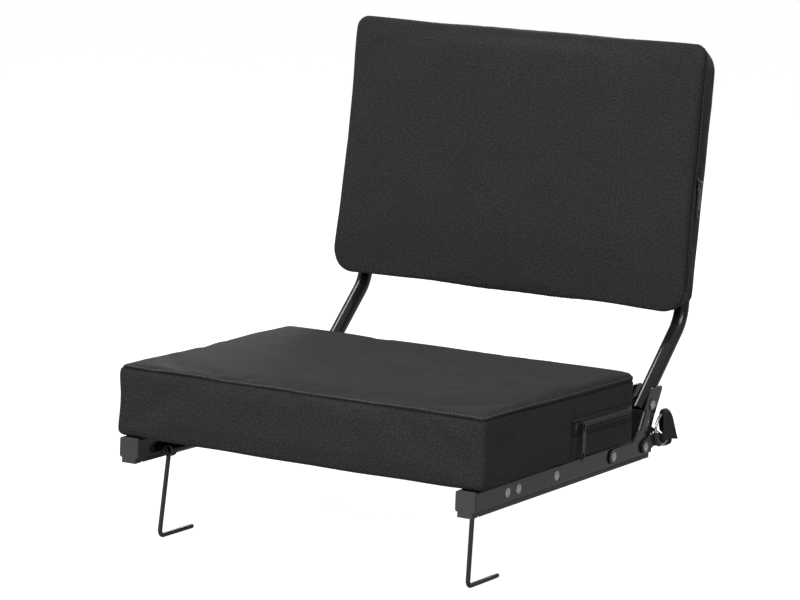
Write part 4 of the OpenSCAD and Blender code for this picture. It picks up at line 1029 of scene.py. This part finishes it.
# %% [markdown]
# ## Effects that several finishes share
# Weave: threads run both ways, and at each crossing one lies on top. With a and b the sines across the
# two thread directions, the warp's height is |a| x (1 + b) / 2 and the weft's |b| x (1 - a) / 2, so
# they swap at every crossing. Each yarn also has its own shade, with a few paler flecks.

# %% Weave
net, given, give, weave = effect("plain_weave", {"Threads": 1500.0}, ("Height", "Yarn", "Fleck"))
place = net.node("VectorMath", {0: given["Vector"], "Scale": given["Threads"]},
                 operation="SCALE").outputs[0]
split = net.node("SeparateXYZ", {0: place}).outputs
a, b = (net.math("SINE", net.times(split[k], math.pi)) for k in (0, 1))
sign_a, sign_b = (net.math("SIGN", wave) for wave in (a, b))
warp = net.times(net.math("ABSOLUTE", a), net.math("MULTIPLY_ADD", net.times(sign_a, b), 0.5, 0.5))
weft = net.times(net.math("ABSOLUTE", b), net.math("MULTIPLY_ADD", net.times(sign_b, a), -0.5, 0.5))
on_top = net.math("GREATER_THAN", warp, weft)
tones = []
for across, lengthways in ((0, 1), (1, 0)):
    thread = net.node("CombineXYZ", {0: net.math("FLOOR", split[across]), 2: 7.3 * across,
                                     1: net.times(split[lengthways], 0.16)}).outputs[0]
    tones.append(net.noise(thread, 0.83, 2.0))
tone = net.node("Mix", {0: on_top, 2: tones[1], 3: tones[0]}, data_type="FLOAT").outputs[0]
give(Height=net.math("MAXIMUM", warp, weft), Yarn=tone, Fleck=net.span(tone, 0.60, 0.74))

# %% [markdown]
# Edge wear: on a worn corner the coating is thinner. The Bevel node gives the normal that the surface
# would have with rounded edges, so where it differs from the real normal there is an edge. Its normal
# also softens the sharp edges of CAD solids, as paint does.

# %% Edge wear
net, given, give, edge_wear = effect("edge_wear", {"Radius": 0.0006}, ("Mask", "Normal"))
bevel = net.node("Bevel", {"Radius": given["Radius"]}, samples=4).outputs[0]
real = net.node("NewGeometry").outputs["Normal"]
turn = net.node("VectorMath", {0: bevel, 1: real}, operation="DOT_PRODUCT").outputs["Value"]
patchy = net.span(net.noise(given["Vector"], 240.0, 3.0), 0.42, 0.62)
give(Mask=net.times(net.span(turn, 0.985, 0.80), patchy), Normal=bevel)

# %% [markdown]
# Dust settles on what faces up, in soft clouds. Peel is the faint orange-peel of powder coating, and
# grain the fine pebbling that a mould gives to plastic and rubber.

# %% Dust, peel and grain
net, given, give, dust = effect("settled_dust", {"Amount": 0.1}, ("Mask",))
facing = net.upward(net.node("NewGeometry").outputs["Normal"])
cloud = net.span(net.noise(given["Vector"], 26.0, 4.0), 0.35, 0.75)
give(Mask=net.times(net.times(net.span(facing, 0.2, 1.0), cloud), given["Amount"]))

net, given, give, peel = effect("orange_peel", {"Scale": 700.0}, ("Height",))
give(Height=net.noise(given["Vector"], given["Scale"], 1.0))

net, given, give, grain = effect("moulded_grain", {"Scale": 1600.0}, ("Height",))
give(Height=net.froth(given["Vector"], given["Scale"], feature="SMOOTH_F1"))
print("effects:", [g.name for g in bpy.data.node_groups])

# %% [markdown]
# ## Finishes
# Each slot of the record gets one material. Coated metal, moulded stuff, plating and cloth come as
# four functions, because several slots differ only in colour, gloss and scale.

# %% Material functions
FINISH = {}


def start(name):
    """A new material with its tree, its shader and Object coordinates."""
    made = bpy.data.materials.new(name)
    made.use_nodes = True
    net = Net(made.node_tree)
    FINISH[name] = made
    return net, made.node_tree.nodes["Principled BSDF"], net.node("TexCoord").outputs["Object"]


def grey(level, warm=0.0):
    return (level * (1 + warm), level, level * (1 - warm), 1.0)


def coated_metal(name, level, rough, coat, bump_scale, bump_height, wear, radius=0.0005):
    """Painted or powder-coated metal: peel bump, softened and slightly worn edges, faint dust."""
    net, shader, place = start(name)
    worn, normal = net.group(edge_wear, Radius=radius, Vector=place)
    peeled = net.group(peel, Vector=place, Scale=bump_scale)[0]
    settled = net.group(dust, Vector=place, Amount=0.05)[0]
    clouds = net.noise(place, 34.0, 3.0)
    base = net.mix(net.times(worn, wear), grey(level), grey(0.16))
    net.feed(shader, {"Base Color": net.mix(settled, base, grey(0.22, 0.04)),
                      "Roughness": net.span(clouds, 0.3, 0.7, rough - 0.03, rough + 0.05),
                      "Coat Weight": coat, "Coat Roughness": 0.07,
                      "Normal": net.bump(peeled, bump_height, 0.6, Normal=normal)})


def moulded(name, level, rough, scale, height, wear, radius=0.0005):
    """Moulded plastic or rubber: pebbled grain, softened edges that rub paler, dust in clouds."""
    net, shader, place = start(name)
    worn, normal = net.group(edge_wear, Radius=radius, Vector=place)
    pebble = net.group(grain, Vector=place, Scale=scale)[0]
    settled = net.group(dust, Vector=place, Amount=0.12)[0]
    clouds = net.noise(place, 55.0, 4.0)
    base = net.mix(clouds, grey(level * 0.86), grey(level * 1.16))
    base = net.mix(net.times(worn, wear), base, grey(level * 3))
    net.feed(shader, {"Base Color": net.mix(settled, base, grey(0.25, 0.03)),
                      "Roughness": net.span(clouds, 0.3, 0.7, rough - 0.05, rough + 0.06),
                      "Normal": net.bump(pebble, height, 0.7, Normal=normal)})


coated_metal("coated_steel", 0.009, 0.20, 0.6, 520.0, 0.00003, 0.25, 0.0011)
coated_metal("wire", 0.022, 0.26, 0.4, 900.0, 0.00004, 0.3, 0.0003)
coated_metal("tab_steel", 0.028, 0.36, 0.2, 800.0, 0.00006, 0.8)
coated_metal("zip_metal", 0.010, 0.24, 0.5, 900.0, 0.00003, 0.5, 0.0003)
moulded("cap_plastic", 0.050, 0.50, 1700.0, 0.00005, 0.4, 0.0008)
moulded("foot_rubber", 0.075, 0.80, 1100.0, 0.00010, 0.3)
moulded("nylon", 0.030, 0.42, 1500.0, 0.00003, 0.1)
print("moulded and coated:", sorted(FINISH))

# %% [markdown]
# The rivets are zinc-plated: bright metal whose plating is a little cloudy, with fine scratches from
# the setting tool. The scratches are noise stretched thin. The pins of the hooks have a black plating.

# %% Zinc
def plated(name, dark, bright, rough):
    """Plated metal: cloudy between two colours, with fine scratches one way."""
    net, shader, place = start(name)
    normal = net.group(edge_wear, Radius=0.0004, Vector=place)[1]
    scratches = net.streaks(place, (900.0, 60.0, 900.0), 3.0)
    clouds = net.noise(place, 180.0, 3.0)
    net.feed(shader, {"Base Color": net.mix(clouds, grey(dark, -0.01), grey(bright)), "Metallic": 1.0,
                      "Roughness": net.span(clouds, 0.3, 0.7, rough, rough + 0.16),
                      "Normal": net.bump(scratches, 0.00004, 0.35, Normal=normal)})


plated("zinc", 0.62, 0.86, 0.20)
plated("blackened_zinc", 0.05, 0.12, 0.30)
print("zinc for the rivets and screws, blackened zinc for the hook pins")

# %% [markdown]
# The covers are charcoal polyester in a plain weave, about 1500 yarns to the metre. The weave follows
# the cloth's own coordinates, which each new piece carries as the UV map "cloth". Yarns differ in
# shade, paler flecks are scattered among them, and larger clouds stop the panel looking printed. Where
# the attribute "seam" marks a groove, at a cushion's seams and between the pocket's lips, the colour is
# darkened: painted shade, standing in for the groove's shadow.

# %% Woven cloths
def woven(name, level, pale, threads, height, sheen):
    """Woven cloth on the UV map: weave bump, yarn by yarn shades, flecks and slow clouds."""
    net, shader, place = start(name)
    cloth = net.node("UVMap", uv_map="cloth").outputs[0]
    crossing, yarn, fleck = net.group(weave, Vector=cloth, Threads=threads)
    settled = net.group(dust, Vector=place, Amount=0.035)[0]
    speck = net.span(net.noise(net.vector("MULTIPLY", cloth, (1.0, 1.0, 0.0)), 500.0, 4.0), 0.44, 0.57)
    clouds = net.span(net.noise(place, 22.0, 4.0), 0.3, 0.7)
    base = net.mix(yarn, grey(level * 0.55), grey(level * 1.30))
    for mask, share, colour in ((speck, 0.90, grey(level * 2.1)), (fleck, 0.35, grey(pale)),
                                (clouds, 0.20, grey(level * 0.72))):
        base = net.mix(net.times(mask, share), base, colour)
    base = net.mix(settled, base, grey(0.20, 0.02))
    # painted shade: the colour goes nearly black where the "seam" attribute marks a groove
    seam = net.node("Attribute", attribute_name="seam").outputs["Fac"]
    base = net.mix(net.times(seam, 0.92), base, grey(level * 0.06))
    net.feed(shader, {"Base Color": base, "Roughness": net.span(crossing, 0.0, 1.0, 0.92, 0.74),
                      "Sheen Weight": sheen, "Sheen Roughness": 0.45, "Specular IOR Level": 0.28,
                      "Normal": net.bump(crossing, height, 0.55)})


woven("cover_cloth", 0.0156, 0.09, 1500.0, 0.00022, 0.03)
woven("webbing", 0.015, 0.05, 900.0, 0.00045, 0.03)
woven("zip_tape", 0.045, 0.09, 2600.0, 0.00010, 0.05)
woven("thread", 0.10, 0.14, 5000.0, 0.00005, 0.10)

net, shader, place = start("base_cloth")
felt = net.streaks(place, (700.0, 180.0, 700.0), 4.0)
dots = net.froth(place, 420.0)
net.feed(shader, {"Base Color": net.mix(felt, grey(0.010), grey(0.030)), "Roughness": 0.95,
                  "Normal": net.bump(net.math("MULTIPLY_ADD", felt, 0.6, dots), 0.0002, 0.5)})
print("cloths:", [k for k in FINISH if "cloth" in k or k in ("webbing", "zip_tape", "thread")])

# %% [markdown]
# The seat board is plywood and the back panel hardboard. Plywood shows long grain on its faces and its
# plies, alternately pale and dark, on its edges, so its colour depends on which way the face looks.
# Foam is a dense froth of cells.

# %% Boards and foam
PLY = 1.5 * MM
net, shader, place = start("plywood")
upright = net.math("ABSOLUTE", net.upward(net.node("NewGeometry").outputs["Normal"]))
long_grain = net.streaks(place, (14.0, 130.0, 60.0), 6.0)
plies = net.math("SINE", net.times(net.upward(place), math.pi / PLY))
face = net.mix(net.span(long_grain, 0.3, 0.7), (0.62, 0.44, 0.25, 1), (0.78, 0.62, 0.40, 1))
side = net.mix(net.span(plies, -0.3, 0.3), (0.36, 0.22, 0.11, 1), (0.70, 0.54, 0.34, 1))
net.feed(shader, {"Base Color": net.mix(net.math("GREATER_THAN", upright, 0.7), side, face),
                  "Roughness": 0.7, "Normal": net.bump(long_grain, 0.0003, 0.4)})
net, shader, place = start("panel_board")
fibres = net.noise(place, 420.0, 6.0)
brown = net.mix(net.span(fibres, 0.35, 0.65), (0.20, 0.12, 0.07, 1), (0.34, 0.22, 0.13, 1))
net.feed(shader, {"Base Color": brown, "Roughness": 0.65, "Normal": net.bump(fibres, 0.0002, 0.4)})
net, shader, place = start("foam")
froth = net.froth(place, 900.0)
net.feed(shader, {"Base Color": net.mix(froth, (0.50, 0.47, 0.36, 1), (0.84, 0.81, 0.68, 1)),
                  "Roughness": 0.95, "Normal": net.bump(froth, 0.0004, 0.8)})

# %% [markdown]
# ## Handing out the finishes
# Each CAD node takes the material of its slot in the record, except the hooks' pins, which are black
# in the photograph. The new pieces get theirs by name.

# %% Assign
finishes = {part["node"]: part["material_slot"] for part in frame["record"]["subparts"]}
finishes.update(left_hook_pin="blackened_zinc", right_hook_pin="blackened_zinc")
for node, finish in finishes.items():
    for socket in frame["nodes"][node].material_slots:
        socket.material = FINISH[finish]
dressed = {seat_cushion: "cover_cloth", back_cushion: "cover_cloth", pocket_cloth: "cover_cloth",
           zip_flap: "cover_cloth", seat_stitches: "thread", back_stitches: "thread",
           pocket_chain: "zip_tape", back_chain: "zip_tape", strap: "webbing", dust_cloth: "base_cloth"}
for piece, finish in dressed.items():
    piece.data.materials.clear()
    piece.data.materials.append(FINISH[finish])
print(len(frame["nodes"]), "nodes and", len(dressed), "pieces have their finish")

# %% [markdown]
# ## Floor and light
# The photograph was taken on white, under broad soft light with one bright window of light from the
# upper left, which draws the long highlights on the tubes. The floor is pale, and a little light of
# its own keeps it white to the horizon.

# %% Studio
floor_points = np.stack(np.meshgrid(*[np.linspace(-16, 16, 5)] * 2, [0.0]), -1)[:, :, 0]
floor = piece_from("floor", [floor_points], closed=False)
net, shader, place = start("floor_paint")
seen = net.node("LightPath").outputs["Is Camera Ray"]
net.feed(shader, {"Base Color": net.mix(net.noise(place, 3.0, 3.0), grey(0.26), grey(0.28)),
                  "Roughness": 0.8, "Emission Color": (1, 1, 1, 1),
                  "Emission Strength": net.span(seen, 0, 1, 0.0, 0.90)})
floor.data.materials.append(FINISH["floor_paint"])
floor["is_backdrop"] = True

world = bpy.data.worlds.new("studio")
bpy.context.scene.world = world
world.use_nodes = True
net = Net(world.node_tree)
seen = net.node("LightPath").outputs["Is Camera Ray"]
sky = net.span(net.upward(net.node("TexCoord").outputs["Generated"]), 0.0, 1.0, 0.22, 0.30)
strength = net.node("Mix", {0: seen, 2: sky, 3: 1.05}, data_type="FLOAT").outputs[0]
net.feed(world.node_tree.nodes["Background"], {"Color": (1, 1, 1, 1), "Strength": strength})


def soft_box(name, at, aim, size, power):
    """An area light of the given width and height, placed at a point and turned to face another."""
    lamp = bpy.data.lights.new(name, "AREA")
    lamp.shape, lamp.size, lamp.size_y, lamp.energy = "RECTANGLE", *size, power
    aimed(name, lamp, at, np.array(aim, float) - at)


soft_box("key", [0.2, -3.1, 1.9], [0, 0, 0.2], (0.9, 1.5), 92)
soft_box("over", [-1.5, 0.1, 2.1], [0, 0.1, 0.2], (1.7, 0.5), 18)
soft_box("fill", [2.6, -0.9, 2.0], [0, 0, 0.2], (1.4, 1.4), 22)
soft_box("rear", [-0.6, 3.0, 1.7], [0, 0, 0.25], (1.6, 1.2), 60)
bpy.context.scene.view_settings.view_transform = "Standard"
print("studio: a pale floor, a sky that is brighter above, a key light and three more")

# %% [markdown]
# ## Sizes
# The dressed seat should keep the CAD model's size, so both boxes are printed.

# %% Finish
new_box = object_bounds()
for label, box in (("CAD box", cad_box), ("visual box", new_box)):
    print(label, [[round(v, 4) for v in c] for c in box])
